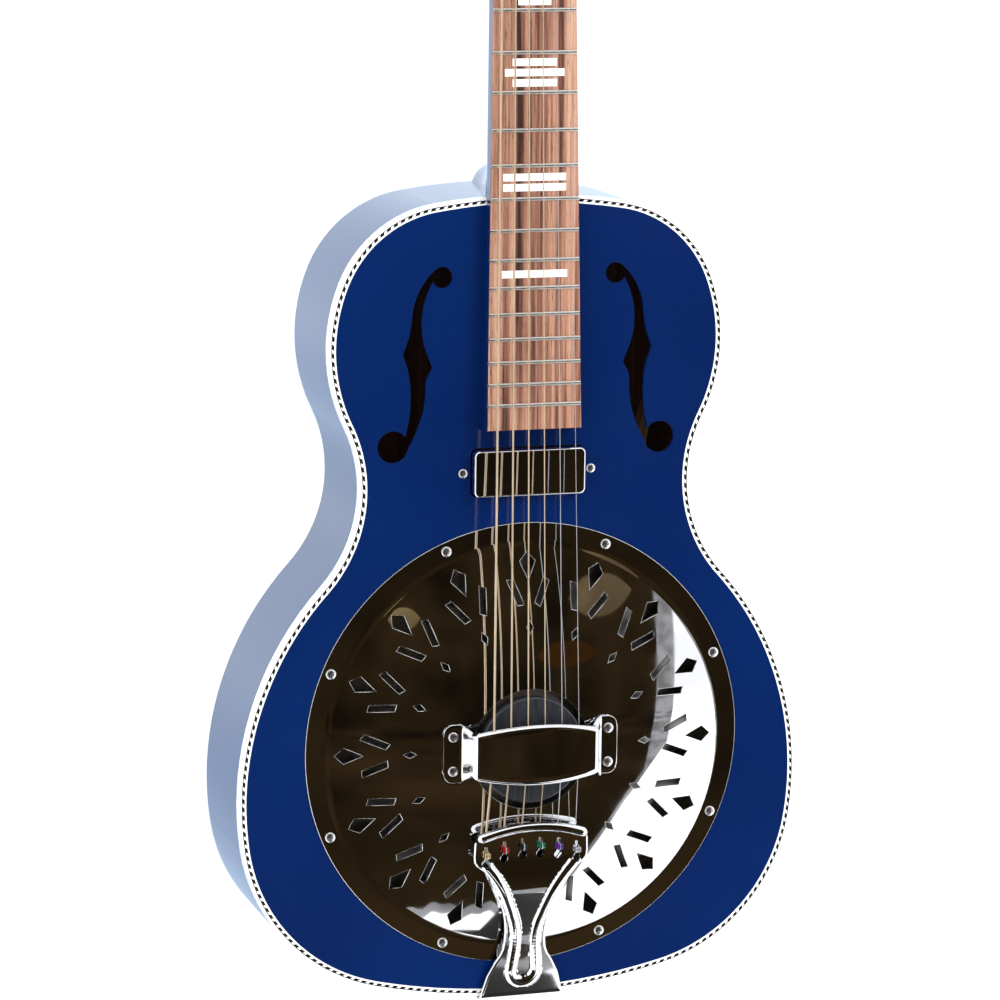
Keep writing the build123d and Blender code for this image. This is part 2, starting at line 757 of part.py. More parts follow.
with BuildSketch() as tail_outline:
    with BuildLine():
        ThreePointArc((0, -45.0), (17, -45.0 - tail_sag(17)), (34, -45.0 - tail_sag(34)))
        Polyline((34, -45.0 - tail_sag(34)), (35.4, -54), (35.2, -63))
        ThreePointArc((35.2, -63), (33.0, -70.5), (27.0, -74.0))
        Spline((27.0, -74.0), (20.8, -87.0), (15.2, -98.0), (12.9, -112.0), (13.3, -124.0),
               (18.0, -131.8), (22.4, -140.5), (26.2, -158.0))
        Line((26.2, -158.0), (0, -158.0))
        mirror(about=Plane.YZ)
    make_face()

with BuildSketch() as tail_ribs:
    with BuildLine():
        Spline((28.5, -69.0), (14.3, -95.0), (8.6, -112.0), (10.9, -138.0))
        ThreePointArc((10.9, -138.0), (8.0, -145.6), (0, -149.8))
        Line((0, -149.8), (0, -141.4))
        ThreePointArc((0, -141.4), (3.0, -140.4), (4.2, -137.0))
        Spline((4.2, -137.0), (2.3, -112.0), (8.6, -95.0), (21.0, -70.5))
        Line((21.0, -70.5), (28.5, -69.0))
        mirror(about=Plane.YZ)
    make_face()

with BuildSketch() as end_outline:
    with BuildLine():
        Polyline((0, 30), (50, 30), (50, 1), (26.4, 1), (24.0, -20), (17.0, -44))
        ThreePointArc((17.0, -44), (12.0, -52.0), (0, -bracket_reach))
        mirror(about=Plane.YZ)
    make_face()
tail_cut_plane = Plane(on_board(0, 0, 0), x_dir=(1, 0, 0), z_dir=(0, 0, -1))

sheet_solid = bent_sheet(0)
rib_solid = bent_sheet(0.9)
with BuildPart() as tail_body:
    add(sheet_solid)
    with BuildSketch(soundboard.offset(-70)):
        add(tail_outline.sketch)
    extrude(amount=110, mode=Mode.INTERSECT)

with BuildPart() as rib_body:
    add(rib_solid)
    with BuildSketch(soundboard):
        add(tail_ribs.sketch)
    extrude(amount=40, mode=Mode.INTERSECT)

roll_plane = soundboard.offset(roll_height)
with BuildPart() as roll:
    with BuildLine(roll_plane) as roll_line:
        ThreePointArc((-33.5, -45.5 - tail_sag(33.5)), (0, -45.5), (33.5, -45.5 - tail_sag(33.5)))
    with BuildSketch(Plane(roll_line.line @ 0, z_dir=roll_line.line % 0)):
        Circle(roll_radius)
    sweep(path=roll_line.line)

with BuildPart() as tailpiece:
    add(tail_body.part)
    add(rib_body.part)
    add(roll.part)
    with BuildSketch(tail_cut_plane):
        add(end_outline.sketch)
    extrude(amount=180, mode=Mode.INTERSECT)
    with BuildSketch(soundboard.offset(roll_height - roll_radius - 3)):
        for x, y in key_spots:
            with Locations((x, y)):
                Circle(2.4)
            with Locations((x, y + slot_length / 2)):
                Rectangle(slot_width, slot_length)
    extrude(amount=roll_radius + 3.6, mode=Mode.SUBTRACT)
    with BuildSketch(end_hole):
        Circle(jack_barrel + 0.2)
        with Locations(*[(x, depth - jack_depth) for x, depth in bracket_screws]):
            Circle(bracket_screw_radius + 0.1)
    extrude(amount=12, mode=Mode.SUBTRACT)
save(tailpiece, "tailpiece")

# ---- screws ----


def screw(head_radius, head_height, shank_radius, length):
    """A round-headed screw standing on the XY plane, its shank below, with a cross recess."""
    with BuildPart() as one:
        Cylinder(head_radius, head_height, align=(Align.CENTER, Align.CENTER, Align.MIN))
        fillet(one.edges().sort_by(Axis.Z)[-1], head_height * 0.7)
        with Locations((0, 0, head_height)):
            Box(head_radius * 1.1, 0.5, head_height, mode=Mode.SUBTRACT)
            Box(0.5, head_radius * 1.1, head_height, mode=Mode.SUBTRACT)
        Cylinder(shank_radius, length, align=(Align.CENTER, Align.CENTER, Align.MAX))
    return one.part


def screw_set(fastener, planes):
    """Copies of a screw, one standing on each plane."""
    with BuildPart() as group:
        with Locations(*planes):
            add(fastener)
    return group.part


with BuildPart() as cover_screws:
    rim_spots = [(cover_screw_radius * cos(radians(a)), cover_screw_radius * sin(radians(a)))
                 for a in [22.5 + 45 * step for step in range(8)]]
    add(screw_set(screw(3.0, 1.6, 1.15, 9.0),
                  [Plane(on_board(x, y, cover_sheet), x_dir=(1, 0, 0), z_dir=soundboard.z_dir)
                   for x, y in rim_spots]))
    foot_spots = [(sx * foot_x, sy * foot_screw_y) for sx in (-1, 1) for sy in (-1, 1)]
    add(screw_set(screw(3.0, 1.7, 1.3, 5.0),
                  [Plane(on_board(x, y, foot_top), x_dir=(1, 0, 0), z_dir=soundboard.z_dir)
                   for x, y in foot_spots]))
save(cover_screws, "cover_screws")

with BuildPart() as tailpiece_screws:
    add(screw_set(screw(3.2, 1.8, bracket_screw_radius - 0.05, 16.0),
                  [Plane(on_board(x, tail_end - end_gap - tail_sheet, -depth), x_dir=(1, 0, 0),
                         z_dir=(0, 0, -1))
                   for x, depth in bracket_screws]))
save(tailpiece_screws, "tailpiece_screws")

# ---- output jack, which is also the strap button at the tail ----
jack_bore = 3.3
jack_length = 34.0
bracket_face = end_gap + tail_sheet
with BuildPart() as end_pin_jack:
    with BuildSketch(jack_axis.offset(bracket_face)):
        Circle(8.5)
    extrude(amount=2.0)
    with BuildSketch(jack_axis.offset(bracket_face + 2.0)):
        Circle(6.2)
    extrude(amount=6.0)
    with BuildSketch(jack_axis.offset(bracket_face + 8.0)):
        Circle(8.0)
    extrude(amount=3.0)
    with BuildSketch(jack_axis.offset(bracket_face)):
        Circle(jack_barrel - 0.1)
    extrude(amount=-jack_length)
    chamfer(end_pin_jack.edges().filter_by(GeomType.CIRCLE).sort_by(Axis.Z)[0], 0.8)
    with BuildSketch(jack_axis.offset(bracket_face + 11.0)):
        Circle(jack_bore)
    extrude(amount=-jack_length - 11.0, mode=Mode.SUBTRACT)

jack_nut_radius = 9.0
with BuildPart() as jack_nut:
    with BuildSketch(Plane(on_board(0, tail_block_end, -jack_depth), x_dir=(1, 0, 0), z_dir=(0, 0, 1))):
        RegularPolygon(jack_nut_radius, 6)
        Circle(jack_barrel, mode=Mode.SUBTRACT)
    extrude(amount=4)
with BuildPart() as jack_node:
    add(end_pin_jack.part)
    add(jack_nut.part)
save(jack_node, "end_pin_jack")

# ---- pickup ----
pickup_top = 7.5
pickup_floor = -9.0
pickup_sheet = 0.8
pickup_plane = Plane(on_board(0, pickup_centre, pickup_floor), x_dir=(1, 0, 0), z_dir=soundboard.z_dir)
with BuildPart() as pickup_cover:
    with BuildSketch(pickup_plane):
        RectangleRounded(pickup_width, pickup_height, pickup_corner)
    extrude(amount=pickup_top - pickup_floor)
    fillet(pickup_cover.faces().sort_by(Axis.Y)[0].edges(), 1.4)
    with BuildSketch(pickup_plane):
        RectangleRounded(pickup_width - 2 * pickup_sheet, pickup_height - 2 * pickup_sheet,
                         pickup_corner - pickup_sheet)
    extrude(amount=pickup_top - pickup_floor - pickup_sheet, mode=Mode.SUBTRACT)
save(pickup_cover, "pickup_cover")

ear_hole = 1.5
with BuildPart() as pickup_base:
    with BuildSketch(pickup_plane):
        RectangleRounded(pickup_width, pickup_height, pickup_corner)
        SlotOverall(2 * pickup_screw_offset + 9, 9)
        with Locations((-pickup_screw_offset, 0), (pickup_screw_offset, 0)):
            Circle(ear_hole, mode=Mode.SUBTRACT)
    extrude(amount=-1.6)
save(pickup_base, "pickup_base")

with BuildPart() as pickup_coils:
    with BuildSketch(pickup_plane):
        with GridLocations(0, 12.4, 1, 2):
            SlotOverall(62, 11.6)
    extrude(amount=1.2)
    with BuildSketch(pickup_plane.offset(1.2)):
        with GridLocations(0, 12.4, 1, 2):
            SlotOverall(58, 9.0)
    extrude(amount=9)
    with BuildSketch(pickup_plane.offset(10.2)):
        with GridLocations(0, 12.4, 1, 2):
            SlotOverall(62, 11.6)
    extrude(amount=1.2)
save(pickup_coils, "pickup_coils")

pickup_screw_spots = [(-pickup_screw_offset, pickup_centre), (pickup_screw_offset, pickup_centre)]
with BuildPart() as pickup_screws:
    add(screw_set(screw(2.6, 1.5, 1.4, 17.0),
                  [Plane(on_board(x, y, 0), x_dir=(1, 0, 0), z_dir=soundboard.z_dir)
                   for x, y in pickup_screw_spots]))
save(pickup_screws, "pickup_screws")

spring_wire = 0.35
spring_radius = 2.3
with BuildPart() as pickup_spring:
    with BuildLine() as spring_line:
        Helix(pitch=1.4, height=4.9, radius=spring_radius)
    with BuildSketch(Plane(spring_line.line @ 0, z_dir=spring_line.line % 0)):
        Circle(spring_wire)
    sweep(path=spring_line.line, is_frenet=True)
with BuildPart() as pickup_springs:
    add(screw_set(pickup_spring.part,
                  [Plane(on_board(x, y, pickup_floor + spring_wire + 0.2), x_dir=(1, 0, 0),
                         z_dir=soundboard.z_dir)
                   for x, y in pickup_screw_spots]))
save(pickup_springs, "pickup_springs")

# ---- tuning machines ----
gear_pitch_radius = gear_module * gear_teeth / 2
gear_tip = gear_pitch_radius + 0.7
gear_root = gear_pitch_radius - 1.0
worm_pitch = pi * gear_module
worm_root = worm_pitch_radius - 0.8
worm_turns = 3
centre_distance = gear_pitch_radius + worm_pitch_radius
plate_thickness = 0.9
plate_height = -veneer_thickness - head_thickness - plate_thickness
gear_height = plate_height - 4.2
post_top = 14.5
waist_bottom = 4.0
waist_top = 12.5
wrap_spacing = 0.08
wrap_count = 3
lug_centre = 5.3
lug_thickness = 1.2
lug_half = 3.2
button_reach = 15.5
journal_radius = 1.5
bushing_bore = post_radius + bearing_gap


def head_spot(x, y, height, z_dir=None):
    """A plane at a place in the headstock's frame, facing out of its face unless told."""
    return Plane(on_head(x, y, height), x_dir=(1, 0, 0), z_dir=z_dir or head_face.z_dir)


with BuildPart() as tuner_plates:
    for number, side, x, row in posts:
        with BuildSketch(head_spot(x, row, plate_height)):
            with Locations((0, -3.5)):
                RectangleRounded(15, 27, 2)
            Circle(bushing_bore + 0.3, mode=Mode.SUBTRACT)
            with Locations(*[(0, place) for place in plate_screw_places]):
                Circle(plate_screw_radius, mode=Mode.SUBTRACT)
        extrude(amount=plate_thickness)
        for end in (-1, 1):
            edge = x + end * lug_centre - lug_thickness / 2
            lug = Plane(on_head(edge, row - centre_distance, gear_height), x_dir=head_face.y_dir,
                        z_dir=(1, 0, 0))
            with BuildSketch(lug):
                with BuildLine():
                    Polyline((-lug_half, 0), (-lug_half, plate_height - gear_height),
                             (lug_half, plate_height - gear_height), (lug_half, 0))
                    ThreePointArc((lug_half, 0), (0, -lug_half), (-lug_half, 0))
                make_face()
                Circle(journal_radius + bearing_gap, mode=Mode.SUBTRACT)
            extrude(amount=lug_thickness)
save(tuner_plates, "tuner_plates")

with BuildPart() as tuner_bushings:
    for number, side, x, row in posts:
        with BuildSketch(head_spot(x, row, 0)):
            RegularPolygon(6.0, 6)
            Circle(bushing_bore, mode=Mode.SUBTRACT)
        extrude(amount=1.8)
        with BuildSketch(head_spot(x, row, 0)):
            Circle(bushing_radius - 0.05)
            Circle(bushing_bore, mode=Mode.SUBTRACT)
        extrude(amount=-7.5)
save(tuner_bushings, "tuner_bushings")

head_back = (0, -head_face.z_dir.Y, -head_face.z_dir.Z)
with BuildPart() as tuner_screws:
    add(screw_set(screw(1.9, 1.1, plate_screw_radius - 0.05, 9.0),
                  [head_spot(x, row + place, plate_height, z_dir=head_back)
                   for x, row in post_spots for place in plate_screw_places]))
save(tuner_screws, "tuner_screws")


def worm_frame(x, row):
    """A worm's own frame: z along its shaft to the treble side, x towards its gear."""
    return Plane(on_head(x, row - centre_distance, gear_height), x_dir=head_face.y_dir, z_dir=(1, 0, 0))


thread_start = -worm_turns * worm_pitch / 2
with BuildPart() as worm_thread:
    with BuildLine() as thread_line:
        Helix(pitch=worm_pitch, height=worm_turns * worm_pitch, radius=worm_pitch_radius,
              center=(0, 0, thread_start))
    with BuildSketch(Plane(thread_line.line @ 0, x_dir=(1, 0, 0), z_dir=thread_line.line % 0)):
        Polygon((-1.0, 0.65), (-1.0, -0.65), (0.7, -0.28), (0.7, 0.28), align=None)
    sweep(path=thread_line.line, is_frenet=True)

gear_screw_radius = 1.2
for number, side, x, row in posts:
    inner_end = -side * (lug_centre + lug_thickness / 2 + 0.6)
    outer_end = side * (button_reach + 9.0)
    with BuildPart() as worm_shape:
        add(worm_thread.part)
        Cylinder(worm_root, 2 * (lug_centre - lug_thickness / 2) - 0.3)
        with Locations((0, 0, (inner_end + outer_end) / 2)):
            Cylinder(journal_radius, abs(outer_end - inner_end))
    with BuildPart() as tuner_worm:
        with Locations(worm_frame(x, row)):
            add(worm_shape.part)
    save(tuner_worm, f"tuner_worm_{number}")

    with BuildPart() as button_shape:
        with BuildSketch(Plane.XZ):
            with Locations((0, side * (button_reach + 8.5))):
                Ellipse(7.4, 8.5)
        extrude(amount=3.2, both=True)
        fillet(button_shape.edges(), 2.2)
        with Locations((0, 0, side * (button_reach + 1.5))):
            Cylinder(2.9, 5)
        with Locations((0, 0, (inner_end + outer_end) / 2)):
            Cylinder(journal_radius + 0.02, abs(outer_end - inner_end), mode=Mode.SUBTRACT)
    with BuildPart() as tuner_button:
        with Locations(worm_frame(x, row)):
            add(button_shape.part)
    save(tuner_button, f"tuner_button_{number}")

    wire = string_radii[number - 1]
    with BuildPart() as post_shape:
        with BuildSketch(Plane.XZ):
            with BuildLine():
                foot = gear_height + gear_width / 2
                Polyline((gear_screw_radius + 0.05, foot), (post_radius, foot), (post_radius, waist_bottom),
                         (waist_radius, waist_bottom + 0.6), (waist_radius, waist_top - 0.6),
                         (post_radius, waist_top), (post_radius, post_top - 0.8),
                         (post_radius - 0.8, post_top), (0, post_top), (0, foot + 6.0),
                         (gear_screw_radius + 0.05, foot + 6.0), (gear_screw_radius + 0.05, foot))
            make_face()
        revolve(axis=Axis.Z)
        with Locations((0, 0, waist_top - 1.6)):
            Cylinder(0.9, 3 * post_radius, rotation=(0, 90, 0), mode=Mode.SUBTRACT)
    with BuildPart() as gear_shape:
        with BuildSketch(Plane.XY.offset(gear_height - gear_width / 2)):
            Circle(gear_root)
            with PolarLocations(0, gear_teeth, start_angle=-90):
                Polygon((gear_root - 0.3, 0.75), (gear_root - 0.3, -0.75), (gear_tip, -0.3), (gear_tip, 0.3),
                        align=None)
            Circle(gear_screw_radius + 0.05, mode=Mode.SUBTRACT)
        extrude(amount=gear_width)
    gear_screw = screw(2.6, 1.3, gear_screw_radius, gear_width + 5.0)
    with BuildPart() as wraps:
        for turn in range(1, wrap_count + 1):
            with Locations((0, 0, wrap_height + wrap_gap + (2 * wire + wrap_spacing) * turn)):
                Torus(waist_radius + wire + wrap_spacing, wire)
    with BuildPart() as tuner_post:
        with Locations(head_spot(x, row, 0)):
            add(post_shape.part)
            add(gear_shape.part)
            add(wraps.part)
        with Locations(head_spot(x, row, gear_height - gear_width / 2, z_dir=head_back)):
            add(gear_screw)
    save(tuner_post, f"tuner_post_{number}")

# ---- strings and ball ends ----
ball_radius = 2.0
ball_length = 3.4
ball_front = -57.0
roll_bottom = roll_height - roll_radius
for number, side, x, row in posts:
    share = 0.5 - (number - 1) / 5
    wire = string_radii[number - 1]
    ball_x = ball_spread * share
    ball_y = ball_front - tail_sag(ball_x)
    ball_height = sheet_top(ball_y) + ball_radius + 0.05
    roll_x = saddle_spread * share + (ball_x - saddle_spread * share) * 0.8
    with BuildPart() as string:
        with BuildLine() as string_path:
            FilletPolyline(string_start(number, wire),
                           on_neck(nut_spread * share, nut_face + 0.3, nut_rest + wire),
                           on_board(saddle_spread * share, compensation, saddle_height),
                           on_board(roll_x, -45.5 - tail_sag(roll_x) - 0.5, roll_bottom - wire - 0.35),
                           on_board(ball_x, ball_y + 1.3, ball_height - ball_radius - wire + 0.15),
                           radius=2.5)
        with BuildSketch(Plane(string_path.line @ 0, z_dir=string_path.line % 0)):
            Circle(wire)
        sweep(path=string_path.line)
    save(string, f"string_{number}")

with BuildPart() as ball_ends:
    for number in range(1, 7):
        ball_x = ball_spread * (0.5 - (number - 1) / 5)
        ball_y = ball_front - tail_sag(ball_x)
        ball_height = sheet_top(ball_y) + ball_radius + 0.05
        with BuildSketch(Plane(on_board(ball_x - ball_length / 2, ball_y, ball_height), z_dir=(1, 0, 0))):
            Circle(ball_radius)
            Circle(0.9, mode=Mode.SUBTRACT)
        extrude(amount=ball_length)
save(ball_ends, "ball_ends")
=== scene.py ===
"""The looks of a blue single-cone resonator guitar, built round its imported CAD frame.

Blender 4.5, metres.  The neck points up (+Z), the strings face -Y and the treble side is at +X.
"""

from math import asin, cos, hypot, pi, radians, sin, sqrt

import bmesh
import bpy
from mathutils import Matrix, Vector


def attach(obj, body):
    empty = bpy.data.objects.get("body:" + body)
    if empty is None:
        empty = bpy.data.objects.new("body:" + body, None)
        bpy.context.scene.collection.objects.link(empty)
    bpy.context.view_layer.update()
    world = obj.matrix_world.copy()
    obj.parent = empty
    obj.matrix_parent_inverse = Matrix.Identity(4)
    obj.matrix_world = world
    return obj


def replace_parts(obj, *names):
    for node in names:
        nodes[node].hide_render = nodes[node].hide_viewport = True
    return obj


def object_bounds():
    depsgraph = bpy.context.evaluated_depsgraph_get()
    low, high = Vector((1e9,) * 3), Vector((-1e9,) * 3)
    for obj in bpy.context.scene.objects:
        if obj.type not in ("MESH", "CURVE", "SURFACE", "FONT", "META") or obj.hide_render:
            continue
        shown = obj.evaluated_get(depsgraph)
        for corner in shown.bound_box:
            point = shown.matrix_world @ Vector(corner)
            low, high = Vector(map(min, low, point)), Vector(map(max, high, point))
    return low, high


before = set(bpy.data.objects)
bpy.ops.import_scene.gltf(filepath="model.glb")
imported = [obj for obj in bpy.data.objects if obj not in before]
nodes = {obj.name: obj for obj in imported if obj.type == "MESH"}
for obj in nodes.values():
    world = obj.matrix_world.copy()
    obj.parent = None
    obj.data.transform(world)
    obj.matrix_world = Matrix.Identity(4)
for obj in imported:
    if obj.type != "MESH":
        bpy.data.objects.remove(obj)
cad_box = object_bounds()
scene = bpy.context.scene

# ---- sizes repeated from the CAD, in millimetres ----
MM = 0.001
SCALE_LENGTH = 645.16
COMPENSATION = 2.0
PITCH = radians(2.5)
HANGER_ALONG = 340.0
HANGER_BEHIND = 14.0
FRETBOARD_HEIGHT = 7.5
TAIL_END = -154.5
# The body's edge from the tail round the treble side: (radius, turn in degrees).
OUTLINE_ARCS = [(381.1, 13.6), (107.7, 67.8), (186.8, 51.3), (83.5, -68.9), (103.1, 48.0), (72.6, 59.1)]
BINDING = 1.7
TRIM_WIDTH = 4.5
DOME_HEIGHT = 15.5
DOME_EDGE = 119.0
DOME_EDGE_HEIGHT = 1.7
BALL_SPREAD = 56.0
STRING_RADII = [0.165, 0.215, 0.33, 0.445, 0.57, 0.71]
ROLL_HEIGHT = 20.9
ROLL_RADIUS = 3.0
TAIL_SHEET = 1.5

NECK_Y = -(HANGER_ALONG * sin(PITCH) + HANGER_BEHIND * cos(PITCH))
NECK_Z = -(HANGER_ALONG * cos(PITCH) - HANGER_BEHIND * sin(PITCH))
BOARD_Y = NECK_Y + FRETBOARD_HEIGHT
BOARD_Z = NECK_Z - (SCALE_LENGTH / 2 * cos(PITCH) + COMPENSATION)


def board(x, along, height):
    """A point over the soundboard: across, up the guitar from the cone's centre, and out of the top."""
    return Vector((x, BOARD_Y - height, BOARD_Z + along)) * MM


# ---- camera ----
def place_camera():
    """The photograph's view: from the bass side, a little above."""
    turn, tip, roll = radians(17.565), radians(10.733), radians(0.734)
    distance, focal_length = 2.39714, 147.8
    ahead = Vector((sin(turn) * cos(tip), cos(turn) * cos(tip), -sin(tip)))
    look = board(-16.24, 147.28, 0)
    level = ahead.cross(Vector((0, 0, 1))).normalized()
    rise = level.cross(ahead)
    right = level * cos(roll) + rise * sin(roll)
    up = rise * cos(roll) - level * sin(roll)
    camera = bpy.data.objects.new("camera", bpy.data.cameras.new("camera"))
    scene.collection.objects.link(camera)
    axes = Matrix((right, up, -ahead)).transposed().to_4x4()
    camera.matrix_world = Matrix.Translation(look - ahead * distance) @ axes
    camera.data.sensor_width = 36.0
    camera.data.lens = focal_length
    camera.data.clip_start = 0.05
    camera.data.clip_end = 200.0
    scene.camera = camera


place_camera()


# ---- materials ----
class Paint:
    """A Principled material, with short ways to add the nodes used here."""

    def __init__(self, name, colour=(0.8, 0.8, 0.8), roughness=0.5, **constants):
        self.material = bpy.data.materials.new(name)
        self.material.use_nodes = True
        self.tree = self.material.node_tree
        self.shader = self.tree.nodes["Principled BSDF"]
        self.place = self.add("ShaderNodeTexCoord")
        self.set("Base Color", (*colour, 1))
        self.set("Roughness", roughness)
        for socket, value in constants.items():
            self.set(socket.replace("_", " "), value)

    def add(self, kind, **settings):
        node = self.tree.nodes.new(kind)
        for key, value in settings.items():
            setattr(node, key, value)
        return node

    def put(self, socket, value):
        """Links an output to an input, or sets the input's own value."""
        if isinstance(value, bpy.types.NodeSocket):
            self.tree.links.new(value, socket)
        else:
            socket.default_value = value

    def set(self, socket, value):
        self.put(self.shader.inputs[socket], value)

    def stretched(self, scale, turn=(0, 0, 0)):
        mapping = self.add("ShaderNodeMapping")
        self.put(mapping.inputs["Vector"], self.place.outputs["Object"])
        mapping.inputs["Scale"].default_value = scale
        mapping.inputs["Rotation"].default_value = turn
        return mapping.outputs["Vector"]

    def noise(self, scale, detail=3.0, vector=None, distortion=0.0):
        node = self.add("ShaderNodeTexNoise")
        self.put(node.inputs["Vector"], vector or self.place.outputs["Object"])
        node.inputs["Scale"].default_value = scale
        node.inputs["Detail"].default_value = detail
        node.inputs["Distortion"].default_value = distortion
        return node.outputs["Fac"]

    def cells(self, scale, feature="F1", vector=None):
        node = self.add("ShaderNodeTexVoronoi", feature=feature)
        self.put(node.inputs["Vector"], vector or self.place.outputs["Object"])
        node.inputs["Scale"].default_value = scale
        return node.outputs["Distance"]

    def bands(self, scale, direction="Z", distortion=0.0):
        node = self.add("ShaderNodeTexWave", wave_type="BANDS", bands_direction=direction)
        self.put(node.inputs["Vector"], self.place.outputs["Object"])
        node.inputs["Scale"].default_value = scale
        node.inputs["Distortion"].default_value = distortion
        return node.outputs["Fac"]

    def ramp(self, fac, stops):
        node = self.add("ShaderNodeValToRGB")
        self.put(node.inputs["Fac"], fac)
        elements = node.color_ramp.elements
        while len(elements) < len(stops):
            elements.new(0.5)
        for element, (position, colour) in zip(elements, stops):
            element.position = position
            element.color = (*colour, 1)
        return node.outputs["Color"]

    def mix(self, fac, one, other, blend="MIX"):
        node = self.add("ShaderNodeMix", data_type="RGBA", blend_type=blend)
        self.put(node.inputs["Factor"], fac)
        self.put(node.inputs["A"], one if isinstance(one, bpy.types.NodeSocket) else (*one, 1))
        self.put(node.inputs["B"], other if isinstance(other, bpy.types.NodeSocket) else (*other, 1))
        return node.outputs["Result"]

    def math(self, operation, one, other=0.0, clamp=False):
        node = self.add("ShaderNodeMath", operation=operation, use_clamp=clamp)
        self.put(node.inputs[0], one)
        self.put(node.inputs[1], other)
        return node.outputs[0]

    def spread(self, fac, low, high, start=0.0, end=1.0):
        node = self.add("ShaderNodeMapRange")
        self.put(node.inputs["Value"], fac)
        node.inputs["From Min"].default_value = start
        node.inputs["From Max"].default_value = end
        node.inputs["To Min"].default_value = low
        node.inputs["To Max"].default_value = high
        return node.outputs["Result"]

    def bump(self, *layers, coat=False):
        """Layers of (height, depth in millimetres), one over the other."""
        normal = None
        for height, depth in layers:
            node = self.add("ShaderNodeBump")
            node.inputs["Distance"].default_value = depth * MM
            node.inputs["Strength"].default_value = 1.0
            self.put(node.inputs["Height"], height)
            if normal:
                self.put(node.inputs["Normal"], normal)
            normal = node.outputs["Normal"]
        self.set("Normal", normal)
        if coat:
            self.set("Coat Normal", normal)

    def facing(self, axis):
        """The surface's direction along an axis: 0 for x, 1 for y, 2 for z."""
        split = self.add("ShaderNodeSeparateXYZ")
        self.put(split.inputs[0], self.place.outputs["Normal"])
        return split.outputs[axis]

    def outward(self, centre):
        """Positive where the surface faces away from a point, negative where it faces it."""
        away = self.add("ShaderNodeVectorMath", operation="SUBTRACT")
        self.put(away.inputs[0], self.place.outputs["Object"])
        away.inputs[1].default_value = centre
        dot = self.add("ShaderNodeVectorMath", operation="DOT_PRODUCT")
        self.put(dot.inputs[0], away.outputs["Vector"])
        self.put(dot.inputs[1], self.place.outputs["Normal"])
        return dot.outputs["Value"]


BLUE_DEEP = (0.0003, 0.0105, 0.071)
BLUE_CLEAR = (0.0004, 0.0150, 0.094)
CHROME = (0.86, 0.86, 0.88)
LACQUER_COAT_ROUGHNESS = 0.035
BARE_WOOD_ROUGHNESS = 0.75
BODY_MIDDLE = board(0, 95, -43)


def lacquer_colour(paint):
    cloud = paint.noise(5.0, 2.0)
    return paint.ramp(cloud, [(0.3, BLUE_DEEP), (0.7, BLUE_CLEAR)])


# Bare wood grain, painted far darker than the pale linings and blocks: painted shade inside the body.
def bare_wood_painted_shade_colour(paint):
    grain = paint.noise(1.0, 5.0, paint.stretched((260, 260, 9)))
    return paint.ramp(grain, [(0.25, (0.05, 0.016, 0.007)), (0.5, (0.10, 0.038, 0.018)),
                              (0.8, (0.16, 0.07, 0.035))])


def lacquer_gloss(paint, inside=None):
    """Clear coat with a trace of orange peel and hand polishing; where inside is 1, bare wood instead."""
    polished = paint.spread(paint.noise(38.0, 5.0), 0.10, 0.17)
    coat = 1.0
    if inside is not None:
        bare = paint.math("MULTIPLY", inside, BARE_WOOD_ROUGHNESS)
        polished = paint.math("MAXIMUM", polished, bare)
        coat = paint.math("SUBTRACT", 1.0, inside)
    paint.set("Roughness", polished)
    paint.set("Coat Weight", coat)
    paint.set("Coat Roughness", LACQUER_COAT_ROUGHNESS)
    peel = paint.noise(240.0, 2.0)
    swell = paint.noise(22.0, 1.0)
    paint.bump((peel, 0.0025), (swell, 0.03), coat=True)


def blue_lacquer(name):
    paint = Paint(name)
    paint.set("Base Color", lacquer_colour(paint))
    lacquer_gloss(paint)
    return paint.material


def blue_shell(name, plates):
    """Blue lacquer outside and bare wood inside, the bare wood painted very dark as painted shade inside the
    body; on the plates the cut edges stay blue.
    """
    paint = Paint(name)
    inside = paint.math("LESS_THAN", paint.outward(BODY_MIDDLE), 0.0)
    if plates:
        level = paint.math("GREATER_THAN", paint.math("ABSOLUTE", paint.facing(1)), 0.6)
        inside = paint.math("MULTIPLY", inside, level)
    paint.set("Base Color", paint.mix(inside, lacquer_colour(paint), bare_wood_painted_shade_colour(paint)))
    lacquer_gloss(paint, inside)
    return paint.material


def pale_wood(name):
    paint = Paint(name, roughness=0.7)
    grain = paint.noise(1.0, 6.0, paint.stretched((420, 420, 14)))
    paint.set("Base Color", paint.ramp(grain, [(0.3, (0.36, 0.21, 0.10)), (0.7, (0.62, 0.43, 0.25))]))
    paint.set("Roughness", paint.spread(grain, 0.55, 0.8))
    paint.bump((grain, 0.08))
    return paint.material


def celluloid(name, colour):
    """Binding and inlay strips: smooth plastic with a faint mottle."""
    paint = Paint(name)
    mottle = paint.noise(160.0, 4.0)
    darker = tuple(0.86 * value for value in colour)
    paint.set("Base Color", paint.ramp(mottle, [(0.35, darker), (0.6, colour)]))
    paint.set("Roughness", paint.spread(paint.noise(90.0), 0.16, 0.3))
    paint.set("Coat Weight", 0.6)
    paint.set("Coat Roughness", 0.05)
    paint.bump((mottle, 0.01), coat=True)
    return paint.material


def chrome(name):
    """Plated and polished metal, with wiping marks in its roughness."""
    paint = Paint(name, Metallic=1.0)
    wiping = paint.noise(30.0, 6.0, distortion=1.5)
    specks = paint.cells(900.0)
    paint.set("Base Color", paint.ramp(wiping, [(0.3, tuple(0.94 * v for v in CHROME)), (0.7, CHROME)]))
    haze = paint.spread(wiping, 0.015, 0.06, 0.35, 0.8)
    speck = paint.spread(specks, 0.09, 0.0, 0.0, 0.08)
    paint.set("Roughness", paint.math("ADD", haze, paint.math("MAXIMUM", speck, 0.0)))
    paint.bump((paint.noise(14.0, 1.0), 0.012))
    return paint.material


